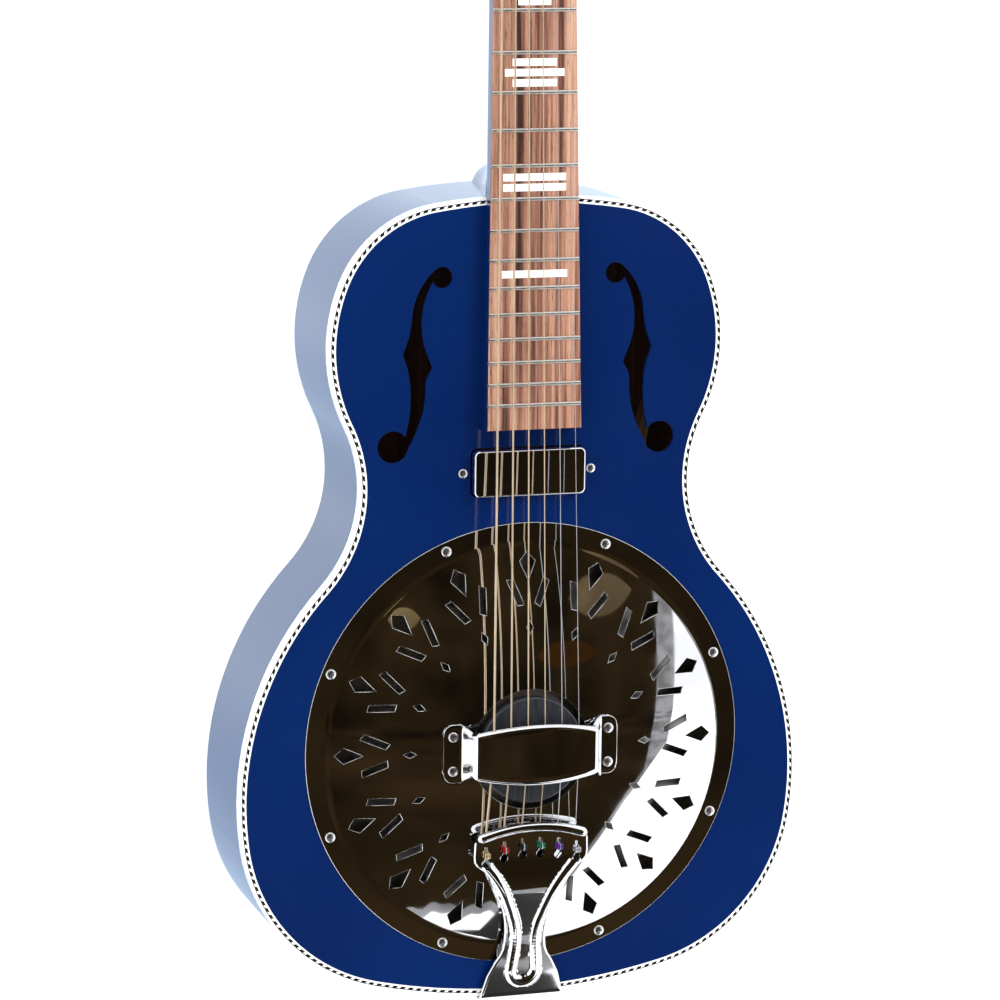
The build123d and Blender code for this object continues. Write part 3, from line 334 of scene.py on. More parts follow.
def spun_aluminium(name):
    paint = Paint(name, Metallic=1.0)
    ring = paint.add("ShaderNodeVectorMath", operation="LENGTH")
    flat = paint.add("ShaderNodeVectorMath", operation="SUBTRACT")
    paint.put(flat.inputs[0], paint.place.outputs["Object"])
    flat.inputs[1].default_value = board(0, 0, 0)
    paint.put(ring.inputs[0], flat.outputs["Vector"])
    grooves = paint.noise(1.0, 2.0, paint.math("MULTIPLY", ring.outputs["Value"], 2600.0))
    paint.set("Base Color", paint.ramp(grooves, [(0.3, (0.36, 0.35, 0.33)), (0.7, (0.56, 0.55, 0.53))]))
    paint.set("Roughness", paint.spread(grooves, 0.28, 0.45))
    paint.bump((grooves, 0.02))
    return paint.material


def brushed_metal(name, colour, rough=(0.22, 0.38), grain=(30, 30, 2500)):
    paint = Paint(name, Metallic=1.0)
    lines = paint.noise(1.0, 4.0, paint.stretched(grain))
    paint.set("Base Color", paint.ramp(lines, [(0.3, tuple(0.8 * v for v in colour)), (0.7, colour)]))
    paint.set("Roughness", paint.spread(lines, *rough))
    paint.bump((lines, 0.004))
    return paint.material


def dark_wood(name):
    """Maple blackened right through, with open pores."""
    paint = Paint(name)
    pores = paint.noise(1.0, 5.0, paint.stretched((1400, 1400, 90)))
    black, worn = (0.006, 0.007, 0.010), (0.035, 0.038, 0.047)
    paint.set("Base Color", paint.ramp(pores, [(0.3, black), (0.75, worn)]))
    paint.set("Roughness", paint.spread(pores, 0.32, 0.55))
    paint.bump((pores, 0.03))
    return paint.material


def rosewood(name):
    """The fretboard's face in streaked rosewood; its long sides carry the body's lacquer."""
    paint = Paint(name)
    wide = paint.noise(1.0, 3.0, paint.stretched((190, 60, 2.2)), 0.4)
    fine = paint.noise(1.0, 5.0, paint.stretched((900, 200, 9)), 0.2)
    blend = paint.math("ADD", paint.math("MULTIPLY", wide, 0.62), paint.math("MULTIPLY", fine, 0.38))
    figure = paint.ramp(blend, [(0.36, (0.040, 0.013, 0.009)), (0.44, (0.180, 0.070, 0.042)),
                                (0.53, (0.36, 0.175, 0.110)), (0.66, (0.52, 0.30, 0.20))])
    pores = paint.noise(1.0, 2.0, paint.stretched((3200, 600, 120)))
    pore = paint.spread(pores, 1.0, 0.0, 0.30, 0.38)
    face = paint.mix(pore, figure, (0.05, 0.018, 0.012))
    side = paint.math("GREATER_THAN", paint.math("ABSOLUTE", paint.facing(0)), 0.6)
    paint.set("Base Color", paint.mix(side, face, BLUE_CLEAR))
    oiled = paint.spread(fine, 0.34, 0.52)
    paint.set("Roughness", paint.math("MINIMUM", oiled, paint.spread(side, 1.0, 0.2)))
    paint.set("Coat Roughness", LACQUER_COAT_ROUGHNESS)
    paint.set("Coat Weight", side)
    depth = paint.math("MULTIPLY", pores, paint.math("SUBTRACT", 1.0, side))
    paint.bump((depth, 0.03))
    return paint.material


def pearl(name):
    paint = Paint(name, roughness=0.2)
    flakes = paint.cells(210.0, "SMOOTH_F1", paint.stretched((1, 1, 2.5), (0.3, 0.2, 0.4)))
    swirl = paint.noise(130.0, 3.0, distortion=2.0)
    sheen = paint.ramp(swirl, [(0.3, (0.72, 0.80, 0.78)), (0.5, (0.86, 0.84, 0.80)),
                               (0.7, (0.90, 0.82, 0.84))])
    paint.set("Base Color", paint.mix(paint.spread(flakes, 0.0, 0.5), sheen, (0.92, 0.93, 0.90)))
    paint.set("Coat Weight", 0.8)
    paint.set("Coat Roughness", 0.04)
    paint.set("Roughness", paint.spread(flakes, 0.15, 0.35))
    return paint.material


def bone(name, colour=(0.80, 0.74, 0.60)):
    paint = Paint(name)
    cloud = paint.noise(120.0, 5.0)
    paint.set("Base Color", paint.ramp(cloud, [(0.3, tuple(0.8 * v for v in colour)), (0.7, colour)]))
    paint.set("Roughness", paint.spread(cloud, 0.25, 0.45))
    paint.set("Subsurface Weight", 0.1)
    paint.set("Subsurface Radius", (0.002, 0.0012, 0.0008))
    paint.bump((cloud, 0.01))
    return paint.material


def plastic(name, colour, rough=(0.22, 0.36)):
    paint = Paint(name)
    grain = paint.noise(300.0, 3.0)
    paint.set("Base Color", paint.ramp(grain, [(0.3, tuple(0.85 * v for v in colour)), (0.7, colour)]))
    paint.set("Roughness", paint.spread(paint.noise(60.0), *rough))
    paint.bump((grain, 0.006))
    return paint.material


def coil_tape(name):
    paint = Paint(name)
    weave = paint.bands(900.0, "X")
    paint.set("Base Color", paint.ramp(weave, [(0.2, (0.008, 0.008, 0.008)), (0.8, (0.03, 0.03, 0.03))]))
    paint.set("Roughness", paint.spread(weave, 0.5, 0.75))
    paint.bump((weave, 0.05))
    return paint.material


def string_wire(name, colour, turn_pitch):
    """Wire; where turn_pitch in millimetres isn't 0 the string is wound with round wire at that pitch."""
    paint = Paint(name, Metallic=1.0)
    patina = paint.noise(55.0, 4.0)
    dull = tuple(0.84 * v for v in colour)
    tone = paint.ramp(patina, [(0.35, dull), (0.65, colour)])
    if turn_pitch:
        turns = paint.bands(pi / (10 * turn_pitch * MM))
        # The grooves between the turns are painted darker brown: painted shade in the grooves.
        tone = paint.mix(paint.spread(turns, 0.32, 0.0, 0.0, 0.4), tone, (0.30, 0.16, 0.07))
        paint.bump((turns, turn_pitch / 3))
    else:
        paint.bump((patina, 0.002))
    paint.set("Base Color", tone)
    paint.set("Roughness", paint.spread(patina, 0.26, 0.4))
    return paint.material


WHITE = (0.88, 0.88, 0.86)
BRONZE = (1.0, 0.80, 0.56)
BALL_COLOURS = [(0.75, 0.76, 0.78), (0.22, 0.06, 0.50), (0.02, 0.33, 0.16), (0.03, 0.03, 0.035),
                (0.62, 0.03, 0.02), (0.86, 0.62, 0.25)]
materials = {
    "blue_plate": blue_shell("blue_plate", plates=True),
    "blue_side": blue_shell("blue_side", plates=False),
    "blue_lacquer": blue_lacquer("blue_lacquer"),
    "pale_wood": pale_wood("pale_wood"),
    "white_binding": celluloid("white_binding", WHITE),
    "black_strip": celluloid("black_strip", (0.012, 0.012, 0.012)),
    "chrome": chrome("chrome"),
    # A brighter, rougher copy of the plated metal for the bevelled rims of the coverplate and the keyholes: a
    # painted highlight line.
    "painted_highlight_edge": brushed_metal("painted_highlight_edge", (0.99, 0.99, 0.98), (0.22, 0.34), (500, 500, 500)),
    "screw_metal": brushed_metal("screw_metal", (0.90, 0.90, 0.91), (0.24, 0.38), (700, 700, 700)),
    "spun_aluminium": spun_aluminium("spun_aluminium"),
    "dark_wood": dark_wood("dark_wood"),
    "rosewood": rosewood("rosewood"),
    "fret_wire": brushed_metal("fret_wire", (0.93, 0.92, 0.89), (0.30, 0.42), (2500, 300, 300)),
    "pearl": pearl("pearl"),
    "bone": bone("bone"),
    "steel": brushed_metal("steel", (0.56, 0.56, 0.57)),
    "brass": brushed_metal("brass", (0.80, 0.58, 0.26)),
    "coil_tape": coil_tape("coil_tape"),
    "plain_string": string_wire("plain_string", (0.85, 0.85, 0.86), 0),
    "thin_winding": string_wire("thin_winding", BRONZE, 0.4),
    "thick_winding": string_wire("thick_winding", BRONZE, 0.6),
    "button": bone("button", (0.62, 0.52, 0.34)),
    "black_plastic": plastic("black_plastic", (0.014, 0.014, 0.015)),
}
NODE_MATERIALS = {
    "top_plate": "blue_plate", "back_plate": "blue_plate", "side_": "blue_side", "neck": "blue_lacquer",
    "headstock_veneer": "blue_lacquer", "end_blocks": "pale_wood", "linings": "pale_wood",
    "soundwell": "pale_wood", "bindings": "white_binding", "top_purfling": "white_binding",
    "cone": "spun_aluminium", "biscuit": "dark_wood", "saddle": "dark_wood", "fretboard": "rosewood",
    "frets": "fret_wire", "position_markers": "pearl", "nut": "bone", "neck_bolts": "steel",
    "truss_rod_cover": "black_plastic", "truss_rod": "steel", "pickup_base": "brass",
    "pickup_coils": "coil_tape", "pickup_springs": "steel", "tuner_button_": "button",
    "string_1": "plain_string", "string_2": "plain_string", "string_3": "thin_winding",
    "string_4": "thin_winding", "string_5": "thick_winding", "string_6": "thick_winding",
}


def paint_nodes():
    """Gives each CAD node the material of the longest matching name; the rest is chrome."""
    for name, node in nodes.items():
        match = max((key for key in NODE_MATERIALS if name.startswith(key)), key=len, default=None)
        material = materials[NODE_MATERIALS[match]] if match else materials["chrome"]
        if not node.data.materials:
            node.data.materials.append(material)
        for index in range(len(node.data.materials)):
            node.data.materials[index] = material


paint_nodes()


# ---- making pieces ----
def add_piece(name, mesh):
    """Puts a finished mesh in the scene, riding on the guitar itself."""
    piece = bpy.data.objects.new(name, mesh)
    scene.collection.objects.link(piece)
    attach(piece, "body")
    return piece


def shade(mesh, angle=35.0):
    mesh.shade_smooth()
    mesh.set_sharp_from_angle(angle=radians(angle))


def face_outward(mesh):
    """Turns every face of a closed mesh outward."""
    work = bmesh.new()
    work.from_mesh(mesh)
    bmesh.ops.recalc_face_normals(work, faces=work.faces)
    work.to_mesh(mesh)
    work.free()


def mesh_of(name, points, faces, *paints):
    mesh = bpy.data.meshes.new(name)
    mesh.from_pydata([tuple(point) for point in points], [], faces)
    for key in paints:
        mesh.materials.append(materials[key])
    mesh.update()
    return mesh


def grid_faces(rows, columns, close_rows=False, close_columns=False):
    """Quads of a grid whose points are stored row by row."""
    faces = []
    for row in range(rows if close_rows else rows - 1):
        for column in range(columns if close_columns else columns - 1):
            below = (row + 1) % rows
            beside = (column + 1) % columns
            faces.append((row * columns + column, row * columns + beside,
                          below * columns + beside, below * columns + column))
    return faces


def baked(source, *modifiers):
    """A copy of an object's mesh with modifiers (kind, settings) applied."""
    for kind, settings in modifiers:
        modifier = source.modifiers.new(kind, kind)
        for key, value in settings.items():
            setattr(modifier, key, value)
    bpy.context.view_layer.update()
    evaluated = source.evaluated_get(bpy.context.evaluated_depsgraph_get())
    mesh = bpy.data.meshes.new_from_object(evaluated)
    source.modifiers.clear()
    return mesh


def tube_mesh(name, centres, radius, sides, paint):
    """A tube along a list of points; radius is a number or a function of the point's index."""
    points, count = [], len(centres)
    side = None
    for index, centre in enumerate(centres):
        ahead = (centres[min(index + 1, count - 1)] - centres[max(index - 1, 0)]).normalized()
        if side is None:
            side = ahead.orthogonal().normalized()
        side = (side - ahead * side.dot(ahead)).normalized()
        other = ahead.cross(side)
        size = radius(index) if callable(radius) else radius
        for step in range(sides):
            angle = 2 * pi * step / sides
            points.append(centre + (side * cos(angle) + other * sin(angle)) * size * MM)
    faces = grid_faces(count, sides, close_columns=True)
    faces.append(tuple(reversed(range(sides))))
    faces.append(tuple(range((count - 1) * sides, count * sides)))
    mesh = mesh_of(name, points, faces, paint)
    shade(mesh, 50)
    return mesh


# ---- soft edges on CAD shapes ----
def softened(node, width, chosen, normals=None, segments=2, edge_paint=None):
    """Replaces a CAD node by a copy with rounded edges.

    chosen(edge) says which edges are rounded; normals(centre, normal) may give a face's exact normal.
    """
    source = nodes[node]
    mesh = source.data.copy()
    if edge_paint:
        mesh.materials.append(materials[edge_paint])
    work = bmesh.new()
    work.from_mesh(mesh)
    bmesh.ops.remove_doubles(work, verts=work.verts, dist=2e-6)
    work.normal_update()
    sharp = [edge for edge in work.edges if len(edge.link_faces) == 2 and edge.calc_face_angle() > 0.7]
    bmesh.ops.bevel(work, geom=[edge for edge in sharp if chosen(edge)], offset=width * MM, profile=0.5,
                    segments=segments, affect="EDGES", clamp_overlap=True, material=1 if edge_paint else -1)
    work.normal_update()
    work.to_mesh(mesh)
    work.free()
    shade(mesh, 40)
    if normals:
        corner_normals = []
        for polygon in mesh.polygons:
            exact = normals(polygon.center, polygon.normal)
            for loop in polygon.loop_indices:
                place = mesh.vertices[mesh.loops[loop].vertex_index].co
                corner_normals.append(exact(place) if exact else mesh.corner_normals[loop].vector)
        mesh.normals_split_custom_set([tuple(normal) for normal in corner_normals])
    piece = add_piece(f"{node}_soft", mesh)
    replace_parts(piece, node)


def outer_edge(edge):
    """Edges between the face that looks at the player and a wall."""
    levels = sorted(abs(face.normal.y) for face in edge.link_faces)
    front = min(face.normal.y for face in edge.link_faces)
    return front < -0.7 and levels[0] < 0.5


DOME_DROP = DOME_HEIGHT - DOME_EDGE_HEIGHT
DOME_RADIUS = (DOME_EDGE ** 2 + DOME_DROP ** 2) / (2 * DOME_DROP)
DOME_CENTRE = board(0, 0, DOME_HEIGHT - DOME_RADIUS)


def dome_normals(centre, normal):
    """The coverplate's domed face gets the sphere's own normals."""
    reach = hypot(centre.x, centre.z - BOARD_Z * MM)
    if normal.y < -0.9 and 0.037 < reach < (DOME_EDGE - 0.1) * MM:
        return lambda place: (place - DOME_CENTRE).normalized()
    if normal.y < -0.999:
        return lambda place: Vector((0, -1, 0))
    return None


# The coverplate's bevelled rims take the brighter metal as a painted highlight line.
softened("coverplate", 1.0, outer_edge, dome_normals, segments=1, edge_paint="painted_highlight_edge")


def flat_normals(centre, normal):
    if normal.y < -0.999:
        return lambda place: Vector((0, -1, 0))
    return None


softened("top_plate", 0.8, outer_edge, flat_normals, segments=3)


# ---- edge trim, from the binding inward: dark line, black and pale checks, pale line ----
# Its section: (distance in from the body's edge, height, slant of the checks along the edge).
TRIM_PROFILE = [(BINDING, 0.0, 0.0), (BINDING + 0.48, -0.02, 0.0), (BINDING + 0.52, 0.03, -0.5),
                (3.52, 0.03, 0.5), (3.56, 0.0, 0.0), (TRIM_WIDTH, 0.0, 0.0)]
CHECK_PERIOD = 5
CHECK_DARK = 3


def outline_walk():
    """Points a millimetre apart round the body's edge and their inward directions, whole checks only."""
    point, heading = Vector((0, TAIL_END)), 0.0
    rest = 180 - sum(turn for radius, turn in OUTLINE_ARCS)
    arcs = [(radius, radians(turn)) for radius, turn in OUTLINE_ARCS]
    lengths = [radius * abs(turn) for radius, turn in arcs]
    corners = []
    for radius, turn in arcs:
        corners.append((point, heading))
        bend = 1 if turn > 0 else -1
        hub = point + Vector((-sin(heading), cos(heading))) * radius * bend
        heading += turn
        point = hub + Vector((sin(heading), -cos(heading))) * radius * bend
    corners.append((point, heading))
    last_radius = point.x / sin(radians(rest))
    arcs.append((last_radius, radians(rest)))
    lengths.append(last_radius * radians(rest))
    total = sum(lengths)
    count = round(2 * total)
    count -= count % CHECK_PERIOD
    walk = []
    for index in range(count):
        along = 2 * total * index / count
        flip = along > total
        left = 2 * total - along if flip else along
        piece = 0
        while piece < len(arcs) - 1 and left > lengths[piece]:
            left -= lengths[piece]
            piece += 1
        (radius, turn), (start, begun) = arcs[piece], corners[piece]
        bend = 1 if turn > 0 else -1
        hub = start + Vector((-sin(begun), cos(begun))) * radius * bend
        angle = begun + left / radius * bend
        spot = hub + Vector((sin(angle), -cos(angle))) * radius * bend
        inward = Vector((-sin(angle), cos(angle)))
        if flip:
            spot.x, inward.x = -spot.x, -inward.x
        walk.append((spot, inward))
    return walk


def edge_trim():
    """The inlaid ring: black checks three steps of the walk long, with two pale steps between them."""
    walk = outline_walk()
    columns = len(TRIM_PROFILE)
    points = []
    for spot, inward in walk:
        for inset, height, slant in TRIM_PROFILE:
            place = spot + inward * inset + Vector((inward.y, -inward.x)) * slant
            points.append(board(place.x, place.y, height))
    top_count = len(points)
    for spot, inward in walk:
        for inset in (TRIM_WIDTH, BINDING):
            place = spot + inward * inset
            points.append(board(place.x, place.y, -1.0))
    count = len(walk)
    faces, paints = [], []
    for row in range(count):
        after = (row + 1) % count
        for column in range(columns - 1):
            faces.append((row * columns + column, row * columns + column + 1,
                          after * columns + column + 1, after * columns + column))
            dark = column == 0 or (column in (1, 2) and row % CHECK_PERIOD < CHECK_DARK)
            paints.append(1 if dark else 0)
        under, under_after = top_count + 2 * row, top_count + 2 * after
        faces.append((row * columns + columns - 1, under, under_after, after * columns + columns - 1))
        faces.append((under, under + 1, under_after + 1, under_after))
        faces.append((under + 1, row * columns, after * columns, under_after + 1))
        paints += [0, 0, 0]
    mesh = mesh_of("edge_trim", points, faces, "white_binding", "black_strip")
    mesh.polygons.foreach_set("material_index", paints)
    face_outward(mesh)
    shade(mesh, 30)
    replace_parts(add_piece("edge_trim", mesh), "top_purfling")


edge_trim()


# ---- curves ----
def smooth_through(points, step_count):
    """Points on a smooth curve through the given ones (Catmull-Rom)."""
    ends = [points[0] * 2 - points[1], *points, points[-1] * 2 - points[-2]]
    made = []
    for index in range(1, len(ends) - 2):
        a, b, c, d = ends[index - 1:index + 3]
        for step in range(step_count):
            t = step / step_count
            made.append(0.5 * (2 * b + (c - a) * t + (2 * a - 5 * b + 4 * c - d) * t * t
                               + (3 * b - a - 3 * c + d) * t ** 3))
    made.append(points[-1])
    return made


def value_at(table, place):
    """Linear reading of a table of (place, value) pairs."""
    table = sorted(table)
    if place <= table[0][0]:
        return table[0][1]
    for (before, low), (after, high) in zip(table, table[1:]):
        if place <= after:
            t = (place - before) / (after - before)
            return low + (high - low) * t
    return table[-1][1]


def tail_sag(x):
    return x * x / 185


# ---- handrest: a pressed plate whose edges roll over, on two feet ----
def handrest():
    half, crown, shoulder = 38.0, 31.6, 28.6
    foot_inner, foot_outer, foot_top = 42.2, 53.6, 15.1
    narrow, bulge, flare, foot_width, foot_corner = 13.4, 4.8, 4.2, 17.6, 6.0
    roll_angles = [radians(turn) for turn in (18, 36, 54, 72, 90)]
    sag = crown - shoulder
    arch = (half ** 2 + sag ** 2) / (2 * sag)
    profile = []
    for step in range(25):
        x = half * step / 24 * 0.97
        profile.append(Vector((x, crown - arch + sqrt(arch ** 2 - x ** 2))))
    bend = [Vector((half * 0.985, shoulder - 0.35)), Vector((half + 0.55, shoulder - 1.6)),
            Vector((half + 1.5, shoulder - 5.0)), Vector((foot_inner - 1.4, foot_top + 4.0)),
            Vector((foot_inner - 0.2, foot_top + 1.0)), Vector((foot_inner + 1.4, foot_top))]
    profile += smooth_through([profile[-1], *bend], 5)[1:]
    for step in range(1, 17):
        profile.append(Vector((foot_inner + 1.4 + (foot_outer - foot_inner - 1.4) * step / 16, foot_top)))
    whole = [Vector((-point.x, point.y)) for point in reversed(profile[1:])] + profile
    points, columns = [], 0
    for index, point in enumerate(whole):
        before, after = whole[max(index - 1, 0)], whole[min(index + 1, len(whole) - 1)]
        run = (after - before).normalized()
        out = Vector((-run.y, run.x))
        reach = abs(point.x)
        if reach < 40:
            width = narrow + bulge * (1 - (reach / 40) ** 2)
        elif reach < 43:
            width = narrow + flare * (reach - 40) / 3
        elif reach < foot_outer - foot_corner:
            width = foot_width
        else:
            past = reach - foot_outer + foot_corner
            width = foot_width - foot_corner + sqrt(max(foot_corner ** 2 - past ** 2, 0))
        blend = min(max((foot_inner + 0.5 - reach) / 3, 0), 1)
        roll = 0.5 + 2.3 * blend
        skirt = 1.2 * blend
        side = [(width - roll) * step / 6 for step in range(7)]
        edge = [(width - roll + roll * sin(a), roll * (1 - cos(a))) for a in roll_angles]
        cross = [(y, 0.0) for y in side] + edge + [(width, roll + skirt)]
        cross = [(-y, drop) for y, drop in reversed(cross[1:])] + cross
        columns = len(cross)
        for y, drop in cross:
            points.append(board(point.x - out.x * drop, y, point.y - out.y * drop))
    faces = [tuple(reversed(face)) for face in grid_faces(len(whole), columns)]
    plate = bpy.data.objects.new("handrest_sheet", mesh_of("handrest_sheet", points, faces, "chrome"))
    scene.collection.objects.link(plate)
    mesh = baked(plate, ("SOLIDIFY", {"thickness": 1.0 * MM, "offset": -1.0}),
                 ("BEVEL", {"width": 0.2 * MM, "segments": 2, "limit_method": "ANGLE",
                            "angle_limit": radians(60)}))
    bpy.data.objects.remove(plate)
    shade(mesh, 50)
    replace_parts(add_piece("handrest_plate", mesh), "handrest")


handrest()


# ---- tailpiece: a bent sheet with a rolled front and two raised ribs that meet at the bottom ----
TAIL_PATH = [(-47.0, 19.0), (-74.0, 18.0), (-112.0, 9.6), (TAIL_END - 1.0, 2.2), (TAIL_END - 1.0, -56.0)]
TAIL_WIDTHS = [(-45, 34.2), (-48, 35.0), (-56, 35.3), (-62, 34.9), (-66, 33.6), (-69, 31.4), (-71.5, 28.8),
               (-75, 26.2), (-80, 23.8), (-87, 20.6), (-93, 17.6), (-98, 15.4), (-105, 13.7), (-112, 12.9),
               (-119, 12.9), (-124, 13.6), (-128, 15.3), (-132, 18.1), (-140.5, 22.4), (-150, 25.0),
               (-156, 26.3)]
END_WIDTHS = [(2, 26.4), (0, 26.3), (-20, 24.0), (-32, 20.9), (-44, 16.8), (-50, 13.0), (-53.5, 9.2),
              (-55.3, 5.0), (-56, 0.6)]
RIB_LINE = [(26.5, -69.5), (20.3, -77.5), (14.6, -87.5), (10.0, -99.0), (6.6, -110.0), (6.0, -120.0),
            (6.9, -130.0), (7.6, -137.0)]
RIB_HALF_WIDTH = 3.5
RIB_RISE = 2.1
EDGE_ROUNDING = 1.3
KEY_PLACE = -62.6
BALL_PLACE = -57.0
BALL_LIFT = 2.05


def rib_height(x, along, line):
    """The raised rib's height over the sheet: half an ellipse, 7 wide and 2.1 high."""
    reach = min((Vector((abs(x), along)) - place).length for place in line)
    share = min(reach / RIB_HALF_WIDTH, 1.0)
    return RIB_RISE * sqrt(1 - share * share)


def tail_rows():
    """The sheet's middle line as (along, height, outward direction), evenly spaced, bends rounded."""
    bends = [Vector(place) for place in TAIL_PATH]
    path = [bends[0]]
    for index, radius in ((1, 14.0), (2, 12.0), (3, 3.4)):
        corner, before, after = bends[index], bends[index - 1], bends[index + 1]
        near = corner + (before - corner).normalized() * radius
        far = corner + (after - corner).normalized() * radius
        for step in range(9):
            t = step / 8
            path.append(near * (1 - t) ** 2 + corner * 2 * t * (1 - t) + far * t * t)
    path.append(bends[-1])
    even, spacing = [], 0.8
    carried = 0.0
    for start, end in zip(path, path[1:]):
        length = (end - start).length
        while carried < length:
            even.append(start + (end - start) * carried / length)
            carried += spacing
        carried -= length
    even.append(path[-1])
    rows = []
    for index, place in enumerate(even):
        run = (even[min(index + 1, len(even) - 1)] - even[max(index - 1, 0)]).normalized()
        rows.append((place, Vector((run.y, -run.x))))
    return rows


def tailpiece():
    half_line = smooth_through([Vector(place) for place in RIB_LINE], 8)
    hub = Vector((0, RIB_LINE[-1][1]))
    for step in range(1, 13):
        angle = pi / 2 * step / 12
        half_line.append(hub + Vector((7.6 * cos(angle), -8.2 * sin(angle))))
    points = []
    margins = [0.0, 0.12, 0.35, 0.75, 1.3]
    inner = 64
    rows = tail_rows()
    for place, out in rows:
        on_top = place.y > 1.0
        width = value_at(TAIL_WIDTHS, place.x) if on_top else value_at(END_WIDTHS, place.y)
        rim = [width - margin for margin in margins]
        across = [-x for x in rim] + [(-1 + 2 * (step + 1) / (inner + 1)) * rim[-1] for step in range(inner)]
        across += list(reversed(rim))
        fade = min(max((place.x + 76) / 24, 0), 1)
        fade = fade * fade * (3 - 2 * fade)
        for x in across:
            edge = width - abs(x)
            inset = EDGE_ROUNDING - min(edge, EDGE_ROUNDING)
            drop = EDGE_ROUNDING - sqrt(max(EDGE_ROUNDING ** 2 - inset ** 2, 0))
            along = place.x - tail_sag(x) * fade
            raised = rib_height(x, along, half_line) if on_top and -149.5 < along < -66 else 0.0
            lift = TAIL_SHEET / 2 + raised - drop
            points.append(board(x, along + out.x * lift, place.y + out.y * lift))
    columns = inner + 2 * len(margins)
    faces = [tuple(reversed(face)) for face in grid_faces(len(rows), columns)]
    sheet = bpy.data.objects.new("tail_sheet", mesh_of("tail_sheet", points, faces, "chrome"))
    scene.collection.objects.link(sheet)
    cutters = keyhole_cutters()
    # Second slot: the brighter metal that paints a highlight line on the keyhole rims.
    sheet.data.materials.append(materials["painted_highlight_edge"])
    mesh = baked(sheet, ("SOLIDIFY", {"thickness": TAIL_SHEET * MM, "offset": -1.0}),
                 ("BOOLEAN", {"object": cutters, "operation": "DIFFERENCE", "solver": "EXACT"}))
    bpy.data.objects.remove(sheet)
    bpy.data.objects.remove(cutters)
    soften_keyholes(mesh)
    shade(mesh, 40)
    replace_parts(add_piece("tailpiece_sheet", mesh), "tailpiece")
    roll = []
    for step in range(61):
        x = -33.6 + 67.2 * step / 60
        roll.append(board(x, -45.5 - tail_sag(x), ROLL_HEIGHT))
    ends = len(roll) - 1

    def swell(index):
        """The roll's radius, drawn in over its last three steps."""
        return ROLL_RADIUS * sqrt(1 - (1 - min(index, ends - index, 3) / 3) ** 2 * 0.9)

    add_piece("tailpiece_roll", tube_mesh("tailpiece_roll", roll, swell, 32, "chrome"))


def keyhole_cutters():
    """Six keyhole prisms: a round hole for the ball and the slot that runs from it to the front."""
    reach, half_slot, front = 2.4, 0.95, 10.5
    opening = asin(half_slot / reach)
    outline = [(half_slot, front), (-half_slot, front)]
    for step in range(37):
        angle = pi / 2 + opening + (2 * pi - 2 * opening) * step / 36
        outline.append((reach * cos(angle), reach * sin(angle)))
    count = len(outline)
    points, faces = [], []
    for string in range(6):
        middle = BALL_SPREAD * (0.5 - string / 5)
        along = KEY_PLACE - tail_sag(middle)
        first = len(points)
        for height in (13.0, 25.0):
            points += [board(middle + x, along + ahead, height) for x, ahead in outline]
        faces.append(tuple(reversed(range(first, first + count))))
        faces.append(tuple(range(first + count, first + 2 * count)))
        for index in range(count):
            after = (index + 1) % count
            faces.append((first + index, first + after, first + count + after, first + count + index))
    mesh = bpy.data.meshes.new("keyholes")
    mesh.from_pydata([tuple(point) for point in points], [], faces)
    cutter = bpy.data.objects.new("keyholes", mesh)
    scene.collection.objects.link(cutter)
    return cutter


def soften_keyholes(mesh):
    work = bmesh.new()
    work.from_mesh(mesh)
    bmesh.ops.remove_doubles(work, verts=work.verts, dist=1e-6)
    low, high = board(-31, -72, 0), board(31, -47, 0)
    rims = []
    for edge in work.edges:
        if len(edge.link_faces) != 2 or edge.calc_face_angle() < 1.0:
            continue
        middle = (edge.verts[0].co + edge.verts[1].co) / 2
        front = min(face.normal.y for face in edge.link_faces)
        if low.z < middle.z < high.z and abs(middle.x) < high.x and front < -0.8:
            rims.append(edge)
    # The rims' bevels get material 1, the painted highlight metal.
    bmesh.ops.bevel(work, geom=rims, offset=0.5 * MM, segments=2, profile=0.5, affect="EDGES",
                    clamp_overlap=True, material=1)
    work.to_mesh(mesh)
    work.free()


tailpiece()


# ---- screws: domed heads with a pressed cross ----
def screw_head_points(radius, height, grid):
    """A square grid laid onto a dome, sunk where the cross is."""
    for v in grid:
        for u in grid:
            x, y = u * sqrt(1 - v * v / 2), v * sqrt(1 - u * u / 2)
            far = min(hypot(x, y), 1.0)
            rise = height * (0.35 + 0.65 * sqrt(1 - far * far * 0.96))
            cross = min(abs(u), abs(v)) < 0.13 and max(abs(u), abs(v)) < 0.56
            yield x * radius, y * radius, rise - (0.62 * height if cross else 0.0)


